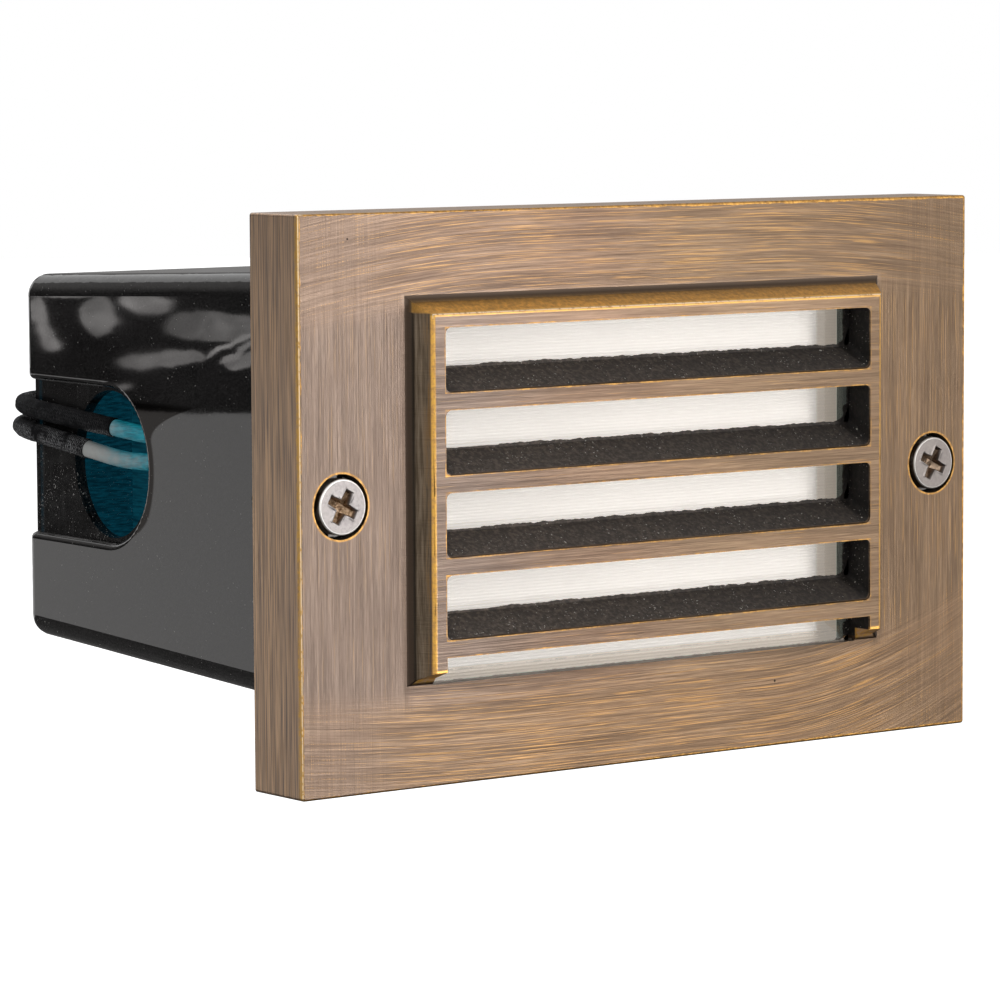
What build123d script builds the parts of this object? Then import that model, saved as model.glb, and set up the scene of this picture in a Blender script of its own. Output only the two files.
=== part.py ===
from build123d import *
import math
import os

# Louvred step light: a cast brass faceplate over a moulded housing set in a wall.
# Millimetres. X is the viewer's right, +Y goes into the wall and Z is up.
# The origin is the middle of the plane in which the faceplate's rim meets the wall.

# Faceplate, cast as a shallow tray
plate_w = 114.3
plate_h = 75.0
plate_t = 10.8
plate_corner_r = 0.4
plate_edge_r = 0.3
rim_wall = 2.2
face_wall = 1.5
skin_gap = 0.65               # between the tray's rim and what nests inside it

# Raised louvre hood, open at the bottom
hood_rise = 3.3
hood_half_w = 38.45           # at its front
hood_top = 24.35
hood_foot = -22.2
hood_flare_side = 1.55        # how far its sides lean out down to the plate
hood_flare_top = 1.75
hood_flare_foot = 1.2
hood_edge_r = 0.7
hood_root = 0.6               # how far its root spreads where it meets the plate

# Openings between the louvres
opening_half_w = 36.45
opening_h = 8.45
opening_pitch = 10.72
opening_corner_r = 0.9
first_opening_top = 22.55
louvre_count = 4
louvre_slope = 0.644          # rise over run, so that light is thrown down
window_foot = -24.1

# Lens: a clear pane over a white ribbed sheet, bedded in a sealant bead
pane_t = 4.8
sheet_t = 0.8
pane_ledge = 0.35             # how far the pane overlaps the window all round
pane_corner_r = 0.6
bead_w = 2.4
bead_proud = 0.7
sheet_rib_pitch = 3.2
sheet_rib_h = 0.25

# Screws through the faceplate
screw_edge = 6.35             # from each side of the plate in to its screw
screw_half_span = plate_w / 2 - screw_edge
head_d = 7.3
head_h = 2.4
head_proud = 0.5
head_edge_r = 0.3
shank_d = 3.9
cross_l = 4.4
cross_w = 1.15
cross_depth = 1.5
cross_turn = 28.0             # degrees that each cross has stopped at
washer_d = 8.0
washer_t = 0.6
washer_teeth = 10
tooth_gap = 0.9
tooth_depth = 0.9
counterbore_d = 8.5
through_d = 4.6
boss_d = 10.0

# Housing flange, ears and threaded inserts
flange_gap = 0.2              # between the flange and the bead in front of it
flange_t = 2.4
flange_lip = 4.4              # beyond the box, all round
flange_corner_r = 3.0
ear_h = 17.0
ear_corner_r = 5.0
ear_boss_d = 7.4
ear_boss_l = 4.5
insert_d = 5.6
insert_l = 6.0
insert_spare = 1.1            # depth of the insert that its screw leaves empty
insert_bore_d = 4.0
insert_groove_w = 1.2
insert_groove = 0.35

# Gasket between the faceplate's rib and the flange
gasket_t = 1.3
gasket_w = 3.0
gasket_inset = 1.2            # from the box's mouth out to the gasket
gasket_corner_r = 2.0
rib_w = 1.6

# Housing box
box_half_w = 43.0             # at the wall plane
box_half_h = 29.45
box_depth = 84.6
draft = 0.0378                # each side leans in this much per millimetre of depth
box_wall = 1.6
box_corner_r = 3.2
box_rear_r = 2.5

# Wiring pocket on each side, open to the rear, with a round knock-out in its floor
pocket_half_h = 11.1
pocket_depth = 2.0
pocket_y = 61.2               # centre of its round end, along the side
pocket_rim_r = 0.9            # rounding where the pocket meets the side
knockout_r = 10.5
knockout_y = 62.9
knockout_groove = 0.8

# Reflector trough and the posts that carry it
reflector_t = 0.8
reflector_front_y = 6.0
reflector_rear_y = 71.0
reflector_rear_half_w = 30.0
reflector_rear_half_h = 18.5
reflector_front_half_w = 33.0
reflector_front_half_h = 23.0
reflector_corner_r = 2.0
post_d = 6.4
post_half_span = 18.0
pilot_d = 2.5
pilot_depth = 8.0
cap_d = 5.6
cap_h = 1.9
cap_dome_r = 0.8

# Lampholder on the trough's left side, lamp axis along X
lamp_y = 36.0
lamp_z = 3.0
holder_w = 16.0               # along Y
holder_h = 12.0
holder_tail = -37.0           # X of its wired end
holder_mouth = -20.0
holder_flange_w = 19.0
holder_flange_h = 15.0
holder_flange_t = 1.6
holder_flange_x = -32.2
holder_edge_r = 0.8
socket_w = 10.4
socket_h = 6.0
socket_depth = 8.6
clip_t = 0.8
clip_x = -30.1
clip_lap = 1.8
fit_gap = 0.1

# Contact strips in the lampholder
contact_t = 0.4
contact_w = 5.0
contact_l = 7.2

# Wedge-base lamp
lamp_r = 7.2
lamp_l = 26.0
lamp_glass_t = 0.9
lamp_dome_r = 6.0
wedge_w = 9.4
wedge_t = 2.2
wedge_l = 7.6
filament_r = 0.7
filament_half_l = 3.2
support_r = 0.35
support_l = 13.0

# Leads: white wires inside, black sleeved leads outside
wire_d = 2.4
lead_d = 2.8
rear_gap = 1.2                # between the box and the nearer layer of the coil
tip_d = 1.3
tip_l = 8.0
coil_out_r = 18.0
coil_pitch = lead_d + 0.8
layer_pitch = lead_d + 0.5
coil_end_r = 8.4              # where its inner end turns into the coil's hollow
coil_end_turn = 130.0
coil_half_turns = 4
coil_x = -5.0
coil_z = -2.5
tie_t = 0.8
tie_w = 2.5
tie_gap = 0.25
tie_head = 3.6

os.makedirs("parts", exist_ok=True)


def wall_plane(y):
    # A front-view plane at depth y: local x is X, local y is Z, its normal faces the viewer.
    return Plane.XZ.offset(-y)


def rear_plane(y):
    # The same seen from inside the wall: its normal is +Y, and local x is -X.
    return Plane(origin=(0, y, 0), x_dir=(-1, 0, 0), z_dir=(0, 1, 0))


def side_plane(side):
    # The drafted outer face of the box, left (-1) or right (+1): local x runs rearwards.
    origin = (side * box_half_w, 0, 0)
    return Plane(origin=origin, x_dir=(-side * draft, 1, 0), z_dir=(side, draft, 0))


def half_w_at(y):
    return box_half_w - draft * y


def half_h_at(y):
    return box_half_h - draft * y


def save(piece, name):
    piece.part.label = name
    export_step(piece.part, f"parts/{name}.step")


# ---------------------------------------------------------------- places that pieces share

hood_front = plate_t + hood_rise                      # all distances towards the viewer
inner_face = plate_t - face_wall
pane_front = inner_face
sheet_front = pane_front - pane_t
sheet_back = sheet_front - sheet_t
window_top = first_opening_top + louvre_slope * (hood_front - inner_face)
pane_half_w = opening_half_w + pane_ledge
pane_top = window_top + pane_ledge
pane_foot = window_foot - pane_ledge
pane_mid = (pane_top + pane_foot) / 2
pane_h = pane_top - pane_foot
seat = plate_t + head_proud - head_h - washer_t       # floor of each counterbore
under_head = seat + washer_t
flange_front = sheet_back - bead_proud - flange_gap    # all by their distance from the wall
gasket_front = flange_front + gasket_t
shank_l = under_head - flange_front + insert_l - insert_spare
mouth_half_w = half_w_at(0) - box_wall
mouth_half_h = half_h_at(0) - box_wall
gasket_half_w = mouth_half_w + gasket_inset + gasket_w
gasket_half_h = mouth_half_h + gasket_inset + gasket_w
floor_in = pocket_depth + box_wall                    # inner face of the pocket floor
screw_spots = [(-screw_half_span, 0), (screw_half_span, 0)]


# ---------------------------------------------------------------- faceplate

def hood_outline(lean, spread):
    # The hood's outline in front view: lean is 0 at its front and 1 at the plate.
    high = hood_top + lean * hood_flare_top + spread
    low = hood_foot - lean * hood_flare_foot - spread
    half_w = hood_half_w + lean * hood_flare_side + spread
    with Locations((0, (high + low) / 2)):
        Rectangle(2 * half_w, high - low)


with BuildPart() as faceplate:
    with BuildSketch(Plane.XZ):
        RectangleRounded(plate_w, plate_h, plate_corner_r)
    extrude(amount=plate_t)
    fillet(faceplate.faces().sort_by(Axis.Y)[0].edges(), plate_edge_r)
    with BuildSketch(Plane.XZ):
        RectangleRounded(plate_w - 2 * rim_wall, plate_h - 2 * rim_wall, plate_corner_r)
    extrude(amount=inner_face, mode=Mode.SUBTRACT)

    # Hood: its sides lean in from a spreading root on the plate to its front
    lean_at_root = 1 - hood_root / hood_rise
    with BuildSketch(wall_plane(-plate_t)):
        hood_outline(1, hood_root)
    with BuildSketch(wall_plane(-plate_t - hood_root)):
        hood_outline(lean_at_root, 0)
    loft(ruled=True)
    with BuildSketch(wall_plane(-plate_t - hood_root)):
        hood_outline(lean_at_root, 0)
    with BuildSketch(wall_plane(-hood_front)):
        hood_outline(0, 0)
    loft(ruled=True)
    hood_face = faceplate.faces().sort_by(Axis.Y)[0]
    fillet(hood_face.edges().sort_by(Axis.Z)[1:], hood_edge_r)

    # Each opening runs up to the rear at the louvres' slope
    cut_len = (hood_front - inner_face + 1) * math.hypot(1, louvre_slope)
    with BuildSketch(wall_plane(-hood_front)):
        for row in range(louvre_count):
            with Locations((0, first_opening_top - opening_h / 2 - row * opening_pitch)):
                RectangleRounded(2 * opening_half_w, opening_h, opening_corner_r)
    extrude(amount=cut_len, dir=(0, 1, louvre_slope), mode=Mode.SUBTRACT)
    # The last opening has no louvre below it and runs out at the hood's foot
    last_top = first_opening_top - louvre_count * opening_pitch
    with BuildSketch(Plane.YZ.offset(-opening_half_w)):
        with BuildLine():
            Polyline(
                (-hood_front - 1, window_foot),
                (-inner_face + 1, window_foot),
                (-inner_face + 1, last_top + louvre_slope * (hood_front - inner_face + 1)),
                (-hood_front - 1, last_top - louvre_slope),
                close=True,
            )
        make_face()
    extrude(amount=2 * opening_half_w, mode=Mode.SUBTRACT)

    # Bosses under the screws, and the rib that presses the gasket
    with BuildSketch(wall_plane(-flange_front)):
        with Locations(*screw_spots):
            Circle(boss_d / 2)
        Rectangle(plate_w - 2 * rim_wall, plate_h - 2 * rim_wall, mode=Mode.INTERSECT)
    extrude(amount=inner_face - flange_front)
    with BuildSketch(wall_plane(-gasket_front)):
        rib_out_w = 2 * gasket_half_w - gasket_w + rib_w
        rib_out_h = 2 * gasket_half_h - gasket_w + rib_w
        RectangleRounded(rib_out_w, rib_out_h, gasket_corner_r)
        Rectangle(rib_out_w - 2 * rib_w, rib_out_h - 2 * rib_w, mode=Mode.SUBTRACT)
    extrude(amount=inner_face - gasket_front)
    with BuildSketch(wall_plane(-plate_t)):
        with Locations(*screw_spots):
            Circle(counterbore_d / 2)
    extrude(amount=-(plate_t - seat), mode=Mode.SUBTRACT)
    with BuildSketch(wall_plane(-plate_t)):
        with Locations(*screw_spots):
            Circle(through_d / 2)
    extrude(amount=-plate_t, mode=Mode.SUBTRACT)
save(faceplate, "faceplate")


# ---------------------------------------------------------------- lens

with BuildPart() as lens_pane:
    with BuildSketch(wall_plane(-sheet_front)):
        with Locations((0, pane_mid)):
            RectangleRounded(2 * pane_half_w, pane_h, pane_corner_r)
    extrude(amount=pane_t)
save(lens_pane, "lens_pane")

# White sheet behind the pane, with shallow level ribs on its back
with BuildPart() as diffuser_sheet:
    with BuildSketch(wall_plane(-sheet_back)):
        with Locations((0, pane_mid)):
            RectangleRounded(2 * pane_half_w, pane_h, pane_corner_r)
    extrude(amount=sheet_t)
    rib_count = int(pane_h / sheet_rib_pitch) - 1
    with BuildSketch(wall_plane(-sheet_back)):
        with Locations((0, pane_mid)):
            with GridLocations(0, sheet_rib_pitch, 1, rib_count):
                Rectangle(2 * pane_half_w - 2, sheet_rib_pitch / 2)
    extrude(amount=-sheet_rib_h)
save(diffuser_sheet, "diffuser_sheet")

# Bead that glues both to the faceplate
with BuildPart() as lens_sealant:
    with BuildSketch(wall_plane(-sheet_back + bead_proud)):
        with Locations((0, pane_mid)):
            RectangleRounded(2 * (pane_half_w + bead_w), pane_h + 2 * bead_w, bead_w)
            RectangleRounded(2 * pane_half_w, pane_h, pane_corner_r, mode=Mode.SUBTRACT)
    extrude(amount=inner_face - sheet_back + bead_proud)
save(lens_sealant, "lens_sealant")


# ---------------------------------------------------------------- gasket

with BuildPart() as plate_gasket:
    with BuildSketch(wall_plane(-flange_front)):
        RectangleRounded(2 * gasket_half_w, 2 * gasket_half_h, gasket_corner_r)
        offset(amount=-gasket_w, kind=Kind.INTERSECTION, mode=Mode.SUBTRACT)
    extrude(amount=gasket_t)
save(plate_gasket, "plate_gasket")


# ---------------------------------------------------------------- housing

# Room inside the box, without the lumps that back the two pockets
with BuildPart() as room:
    for y in (-flange_front, box_depth - box_wall):
        with BuildSketch(rear_plane(y)):
            RectangleRounded(
                2 * (half_w_at(y) - box_wall),
                2 * (half_h_at(y) - box_wall),
                box_corner_r - box_wall,
            )
    loft(ruled=True)
    for side in (-1, 1):
        with BuildSketch(side_plane(side).offset(1)):
            with Locations((pocket_y, 0)):
                Circle(pocket_half_h + box_wall)
            with Locations((pocket_y + box_depth / 2, 0)):
                Rectangle(box_depth, 2 * (pocket_half_h + box_wall))
        extrude(amount=-floor_in - 1, mode=Mode.SUBTRACT)

with BuildPart() as housing:
    for y in (-flange_front, box_depth):
        with BuildSketch(rear_plane(y)):
            RectangleRounded(2 * half_w_at(y), 2 * half_h_at(y), box_corner_r)
    loft(ruled=True)
    fillet(housing.faces().sort_by(Axis.Y)[-1].edges(), box_rear_r)

    # Flange with an ear for each screw
    with BuildSketch(wall_plane(-flange_front)):
        RectangleRounded(
            2 * (box_half_w + flange_lip), 2 * (box_half_h + flange_lip), flange_corner_r
        )
        RectangleRounded(plate_w - 2 * rim_wall - 2 * skin_gap, ear_h, ear_corner_r)
    extrude(amount=-flange_t)
    with BuildSketch(wall_plane(-flange_front + flange_t)):
        with Locations(*screw_spots):
            Circle(ear_boss_d / 2)
        web_l = screw_half_span - box_half_w + 1
        for side in (-1, 1):
            with Locations((side * (screw_half_span - web_l / 2), 0)):
                Rectangle(web_l, box_wall)
    extrude(amount=-ear_boss_l)

    # Wiring pockets
    for side in (-1, 1):
        with BuildSketch(side_plane(side).offset(1)):
            with Locations((pocket_y, 0)):
                Circle(pocket_half_h)
            with Locations((pocket_y + box_depth / 2, 0)):
                Rectangle(box_depth, 2 * pocket_half_h)
        extrude(amount=-pocket_depth - 1, mode=Mode.SUBTRACT)
    for side in (-1, 1):
        sides = housing.faces().filter_by(lambda face: face.normal_at().X * side > 0.99)
        rim = sides.sort_by(SortBy.AREA)[-1].edges()
        rim = rim.filter_by(lambda edge: edge.bounding_box().max.Z < pocket_half_h + 1)
        rim = rim.filter_by(lambda edge: edge.bounding_box().min.Z > -pocket_half_h - 1)
        fillet(rim, pocket_rim_r)

    add(room.part, mode=Mode.SUBTRACT)

    # The left knock-out is out; the right one is still held by its groove
    with BuildSketch(side_plane(-1)):
        with Locations((knockout_y, 0)):
            Circle(knockout_r)
    extrude(amount=-floor_in - 1, mode=Mode.SUBTRACT)
    with BuildSketch(side_plane(1).offset(-pocket_depth)):
        with Locations((knockout_y, 0)):
            Circle(knockout_r)
            Circle(knockout_r - knockout_groove, mode=Mode.SUBTRACT)
    extrude(amount=-box_wall / 2, mode=Mode.SUBTRACT)

    # Posts for the reflector, on the rear wall
    with BuildSketch(rear_plane(reflector_rear_y)):
        with Locations((-post_half_span, 0), (post_half_span, 0)):
            Circle(post_d / 2)
    extrude(amount=box_depth - box_wall / 2 - reflector_rear_y)
    with BuildSketch(rear_plane(reflector_rear_y)):
        with Locations((-post_half_span, 0), (post_half_span, 0)):
            Circle(pilot_d / 2)
    extrude(amount=pilot_depth, mode=Mode.SUBTRACT)

    # Blind holes for the inserts
    with BuildSketch(wall_plane(-flange_front)):
        with Locations(*screw_spots):
            Circle(insert_d / 2)
    extrude(amount=-insert_l, mode=Mode.SUBTRACT)
save(housing, "housing")

for spot, name in zip(screw_spots, ("insert_left", "insert_right")):
    with BuildPart() as insert:
        with BuildSketch(wall_plane(-flange_front)):
            with Locations(spot):
                Circle(insert_d / 2)
                Circle(insert_bore_d / 2, mode=Mode.SUBTRACT)
        extrude(amount=-insert_l)
        with BuildSketch(wall_plane(-flange_front + (insert_l - insert_groove_w) / 2)):
            with Locations(spot):
                Circle(insert_d / 2)
                Circle(insert_d / 2 - insert_groove, mode=Mode.SUBTRACT)
        extrude(amount=-insert_groove_w, mode=Mode.SUBTRACT)
    save(insert, name)


# ---------------------------------------------------------------- screws and washers

for spot, name in zip(screw_spots, ("left", "right")):
    with BuildPart() as screw:
        with BuildSketch(wall_plane(-under_head)):
            with Locations(spot):
                Circle(head_d / 2)
        extrude(amount=head_h)
        fillet(screw.faces().sort_by(Axis.Y)[0].edges(), head_edge_r)
        with BuildSketch(wall_plane(-under_head)):
            with Locations(spot):
                Circle(shank_d / 2)
        extrude(amount=-shank_l)
        chamfer(screw.faces().sort_by(Axis.Y)[-1].edges(), 0.4)
        with BuildSketch(wall_plane(-under_head - head_h)):
            with Locations(Location((spot[0], spot[1], 0), (0, 0, cross_turn))):
                Rectangle(cross_l, cross_w)
                Rectangle(cross_w, cross_l)
                Circle(cross_w)
        extrude(amount=-cross_depth, taper=12, mode=Mode.SUBTRACT)
    save(screw, f"screw_{name}")

    with BuildPart() as washer:
        with BuildSketch(wall_plane(-seat)):
            with Locations(spot):
                Circle(washer_d / 2)
                Circle(through_d / 2, mode=Mode.SUBTRACT)
                with PolarLocations(washer_d / 2, washer_teeth):
                    Rectangle(2 * tooth_depth, tooth_gap, mode=Mode.SUBTRACT)
        extrude(amount=washer_t)
    save(washer, f"washer_{name}")


# ---------------------------------------------------------------- reflector

with BuildPart() as reflector:
    with BuildSketch(rear_plane(reflector_front_y)):
        RectangleRounded(
            2 * reflector_front_half_w, 2 * reflector_front_half_h, reflector_corner_r
        )
    with BuildSketch(rear_plane(reflector_rear_y)):
        RectangleRounded(2 * reflector_rear_half_w, 2 * reflector_rear_half_h, reflector_corner_r)
    loft(ruled=True)
    with BuildSketch(rear_plane(reflector_front_y)):
        RectangleRounded(
            2 * (reflector_front_half_w - reflector_t),
            2 * (reflector_front_half_h - reflector_t),
            reflector_corner_r - reflector_t,
        )
    with BuildSketch(rear_plane(reflector_rear_y - reflector_t)):
        RectangleRounded(
            2 * (reflector_rear_half_w - reflector_t),
            2 * (reflector_rear_half_h - reflector_t),
            reflector_corner_r - reflector_t,
        )
    loft(ruled=True, mode=Mode.SUBTRACT)
    # Cut-out that the lampholder snaps into, and the two fixing holes
    with BuildSketch(Plane.YZ.offset(-reflector_front_half_w - 1)):
        with Locations((lamp_y, lamp_z)):
            Rectangle(holder_w + 2 * fit_gap, holder_h + 2 * fit_gap)
    extrude(amount=reflector_front_half_w, mode=Mode.SUBTRACT)
    with BuildSketch(rear_plane(reflector_rear_y - 2 * reflector_t)):
        with Locations((-post_half_span, 0), (post_half_span, 0)):
            Circle(pilot_d / 2 + fit_gap)
    extrude(amount=3 * reflector_t, mode=Mode.SUBTRACT)
save(reflector, "reflector")

with BuildPart() as reflector_screws:
    cap_seat = reflector_rear_y - reflector_t
    with BuildSketch(wall_plane(cap_seat)):
        with Locations((-post_half_span, 0), (post_half_span, 0)):
            Circle(cap_d / 2)
    extrude(amount=cap_h)
    fillet(reflector_screws.faces().group_by(Axis.Y)[0].edges(), cap_dome_r)
    with BuildSketch(rear_plane(cap_seat)):
        with Locations((-post_half_span, 0), (post_half_span, 0)):
            Circle(pilot_d / 2)
    extrude(amount=reflector_t + pilot_depth - 1)
save(reflector_screws, "reflector_screws")


# ---------------------------------------------------------------- lampholder

with BuildPart() as lampholder:
    with BuildSketch(Plane.YZ.offset(holder_tail)):
        with Locations((lamp_y, lamp_z)):
            Rectangle(holder_w, holder_h)
    extrude(amount=holder_mouth - holder_tail)
    fillet(lampholder.edges().filter_by(Axis.X), holder_edge_r)
    with BuildSketch(Plane.YZ.offset(holder_flange_x - holder_flange_t)):
        with Locations((lamp_y, lamp_z)):
            RectangleRounded(holder_flange_w, holder_flange_h, holder_edge_r)
    extrude(amount=holder_flange_t)
    with BuildSketch(Plane.YZ.offset(holder_mouth - socket_depth)):
        with Locations((lamp_y, lamp_z)):
            Rectangle(socket_w, socket_h)
    extrude(amount=socket_depth, mode=Mode.SUBTRACT)
save(lampholder, "lampholder")

# Spring clip that locks the holder from inside the trough
with BuildPart() as holder_clip:
    with BuildSketch(Plane.YZ.offset(clip_x)):
        with Locations((lamp_y, lamp_z)):
            RectangleRounded(holder_w + 2 * clip_lap, holder_h + 2 * clip_lap, clip_lap)
            Rectangle(holder_w, holder_h, mode=Mode.SUBTRACT)
    extrude(amount=clip_t)
save(holder_clip, "holder_clip")

# One contact strip above the lamp's wedge and one below, each with a foot on the socket's wall
with BuildPart() as holder_contacts:
    for up in (-1, 1):
        near = up * (wedge_t / 2 + fit_gap)
        far = up * socket_h / 2
        tail = holder_mouth - socket_depth
        with BuildSketch(Plane.XZ.offset(-lamp_y + contact_w / 2)):
            with BuildLine():
                Polyline(
                    (tail, lamp_z + near),
                    (tail + contact_l, lamp_z + near),
                    (tail + contact_l, lamp_z + near + up * contact_t),
                    (tail + contact_t, lamp_z + near + up * contact_t),
                    (tail + contact_t, lamp_z + far),
                    (tail, lamp_z + far),
                    close=True,
                )
            make_face()
        extrude(amount=-contact_w)
save(holder_contacts, "holder_contacts")


# ---------------------------------------------------------------- lamp

lamp_root = holder_mouth + 1.0
with BuildPart() as lamp_envelope:
    with BuildSketch(Plane.XZ.offset(-lamp_y)):
        with BuildLine():
            straight = lamp_root + lamp_l - lamp_dome_r
            Line((lamp_root, lamp_z), (lamp_root, lamp_z + lamp_r - 1))
            Line((lamp_root, lamp_z + lamp_r - 1), (lamp_root + 1, lamp_z + lamp_r))
            Line((lamp_root + 1, lamp_z + lamp_r), (straight, lamp_z + lamp_r))
            EllipticalCenterArc((straight, lamp_z), lamp_dome_r, lamp_r, arc_size=90)
            Line((straight + lamp_dome_r, lamp_z), (lamp_root, lamp_z))
        make_face()
    revolve(axis=Axis((0, lamp_y, lamp_z), (1, 0, 0)))
    with BuildSketch(Plane.XZ.offset(-lamp_y)):
        with BuildLine():
            inner = lamp_r - lamp_glass_t
            first = lamp_root + 3.0
            Line((first, lamp_z), (first, lamp_z + inner))
            Line((first, lamp_z + inner), (straight, lamp_z + inner))
            EllipticalCenterArc((straight, lamp_z), lamp_dome_r - lamp_glass_t, inner, arc_size=90)
            Line((straight + lamp_dome_r - lamp_glass_t, lamp_z), (first, lamp_z))
        make_face()
    revolve(axis=Axis((0, lamp_y, lamp_z), (1, 0, 0)), mode=Mode.SUBTRACT)
    with BuildSketch(Plane.YZ.offset(lamp_root)):
        with Locations((lamp_y, lamp_z)):
            RectangleRounded(wedge_w, wedge_t, 0.5)
    extrude(amount=-wedge_l)
save(lamp_envelope, "lamp_envelope")

# Two supports stand on the press and carry the filament between them
with BuildPart() as lamp_filament:
    with BuildSketch(Plane.YZ.offset(lamp_root + 3.0)):
        with Locations((lamp_y - filament_half_l, lamp_z), (lamp_y + filament_half_l, lamp_z)):
            Circle(support_r)
    extrude(amount=support_l)
    with BuildSketch(Plane.XZ.offset(-lamp_y + filament_half_l)):
        with Locations((lamp_root + 3.0 + support_l, lamp_z)):
            Circle(filament_r)
    extrude(amount=-2 * filament_half_l)
save(lamp_filament, "lamp_filament")


# ---------------------------------------------------------------- wires and leads

def bend_radii(points):
    # Each arc is as large as its two runs allow: 0.45 of the shorter run over the
    # tangent of half the turn.
    radii = []
    for index in range(1, len(points) - 1):
        before = Vector(*points[index]) - Vector(*points[index - 1])
        after = Vector(*points[index + 1]) - Vector(*points[index])
        turn = math.radians(before.get_angle(after))
        radii.append(0.45 * min(before.length, after.length) / math.tan(turn / 2))
    return radii


def report_tube(name, piece, path_length, diameter, radii):
    section = math.pi * diameter**2 / 4
    ratio = piece.part.volume / (section * path_length)
    least = min(radii)
    print(f"{name}: {path_length:.1f} mm long, least radius {least:.1f}, volume ratio {ratio:.4f}")


layer_y = {"upper": box_depth + lead_d / 2 + rear_gap}
layer_y["lower"] = layer_y["upper"] + layer_pitch
sleeve_start = {"upper": (-37.6, 63.5, 5.1), "lower": (-38.6, 69.2, 1.8)}
# The next three: room between the lead and the pocket floor, distance past the box's rear, Z
lip_place = {"upper": (0.83, 73.6 - box_depth, 6.5), "lower": (0.73, 75.0 - box_depth, 3.0)}
edge_place = {"upper": (1.8, -2.0, 7.3), "lower": (1.8, -1.7, 4.0)}
turn_place = {"upper": (-1.2, 2.75, 7.7), "lower": (-1.1, 3.7, 4.35)}
run_point = {"upper": (-26.8, 8.2), "lower": (-27.3, 4.9)}      # X and Z behind the box
holder_exit_z = {"upper": 5.2, "lower": 0.6}
wire_x = (holder_tail + holder_flange_x - holder_flange_t) / 2 + 0.3
wire_y = lamp_y + holder_w / 2
wire_first_run = 6.0
wire_last_run = 7.0


def along(start, end, distance):
    # The point a distance past start on the way to end.
    way = (Vector(*end) - Vector(*start)).normalized()
    return tuple(Vector(*start) + way * distance)


def beside_floor(room, past_rear, z):
    # A point of a lead beside the left pocket's floor, or beyond the end of it.
    y = box_depth + past_rear
    floor_x = pocket_depth - half_w_at(min(y, box_depth))
    return (floor_x - lead_d / 2 - room, y, z)


tip_ends = []
for name in ("upper", "lower"):
    start = sleeve_start[name]
    lip = beside_floor(*lip_place[name])
    depth = layer_y[name]

    # White wire inside the box, from the lampholder to the sleeve
    wire_points = [
        (wire_x, wire_y, holder_exit_z[name]),
        (wire_x, wire_y + wire_first_run, holder_exit_z[name]),
        along(start, lip, -wire_last_run),
        start,
    ]
    with BuildPart() as wire:
        with BuildLine() as wire_path:
            FilletPolyline(*wire_points, radius=bend_radii(wire_points))
        wire_line = wire_path.wire()
        with BuildSketch(Plane(origin=wire_line @ 0, z_dir=wire_line % 0)):
            Circle(wire_d / 2)
        sweep(path=wire_line)
    report_tube(f"wire_{name}", wire, wire_line.length, wire_d, bend_radii(wire_points))
    save(wire, f"wire_{name}")

    # Where the run behind the box touches the coil's outer turn
    run_x, run_z = run_point[name]
    gap_x = coil_x - run_x
    gap_z = coil_z - run_z
    gap = math.hypot(gap_x, gap_z)
    heading = math.atan2(gap_z, gap_x) + math.asin(coil_out_r / gap)
    reach = math.sqrt(gap**2 - coil_out_r**2)
    stub = reach - 2 * lead_d
    lead_end = (run_x + stub * math.cos(heading), depth, run_z + stub * math.sin(heading))

    # Black sleeved lead along the pocket floor, round its rear edge and on to the coil
    lead_points = [
        start,
        lip,
        beside_floor(*edge_place[name]),
        beside_floor(*turn_place[name]),
        (run_x, depth, run_z),
        lead_end,
    ]
    with BuildPart() as lead:
        with BuildLine() as lead_path:
            FilletPolyline(*lead_points, radius=bend_radii(lead_points))
        lead_line = lead_path.wire()
        with BuildSketch(Plane(origin=lead_line @ 0, z_dir=lead_line % 0)):
            Circle(lead_d / 2)
        sweep(path=lead_line)
    report_tube(f"lead_{name}", lead, lead_line.length, lead_d, bend_radii(lead_points))
    print(f"lead_{name}: bend radii {[round(radius, 1) for radius in bend_radii(lead_points)]}")
    save(lead, f"lead_{name}")

    # The rest of it, a flat coil whose half turns shrink by half a pitch each
    with BuildPart() as coil:
        with BuildLine(wall_plane(depth)) as coil_path:
            first = Line(
                (lead_end[0], lead_end[2]),
                (run_x + reach * math.cos(heading), run_z + reach * math.sin(heading)),
            )
            end_point = first @ 1
            end_way = first % 1
            for half_turn in range(coil_half_turns):
                turn_r = coil_out_r - half_turn * coil_pitch / 2
                bend = JernArc(
                    (end_point.X, end_point.Z), (end_way.X, end_way.Z), turn_r, arc_size=-180
                )
                end_point = bend @ 1
                end_way = bend % 1
            bend = JernArc(
                (end_point.X, end_point.Z), (end_way.X, end_way.Z), coil_end_r, arc_size=-coil_end_turn
            )
            end_point = bend @ 1
            end_way = bend % 1
            last = end_point + end_way * lead_d
            Line((end_point.X, end_point.Z), (last.X, last.Z))
        coil_line = coil_path.wire()
        with BuildSketch(Plane(origin=coil_line @ 0, z_dir=coil_line % 0)):
            Circle(lead_d / 2)
        sweep(path=coil_line)
    report_tube(f"coil_{name}", coil, coil_line.length, lead_d, [turn_r, coil_end_r])
    steps = 400
    spots = [coil_line @ (step / steps) for step in range(steps + 1)]
    apart = int(steps * 2.5 * lead_d / coil_line.length)
    least = min(
        (spots[i] - spots[j]).length
        for i in range(0, steps, 4)
        for j in range(i + apart, steps + 1)
    )
    print(f"coil_{name}: least gap to itself {least - lead_d:.2f} mm")
    save(coil, f"coil_{name}")
    tip_ends.append((coil_line @ 1, coil_line % 1))

# Bare stripped ends of both leads
with BuildPart() as lead_tips:
    for point, way in tip_ends:
        with BuildSketch(Plane(origin=point, z_dir=way)):
            Circle(tip_d / 2)
        extrude(amount=tip_l)
save(lead_tips, "lead_tips")

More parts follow.
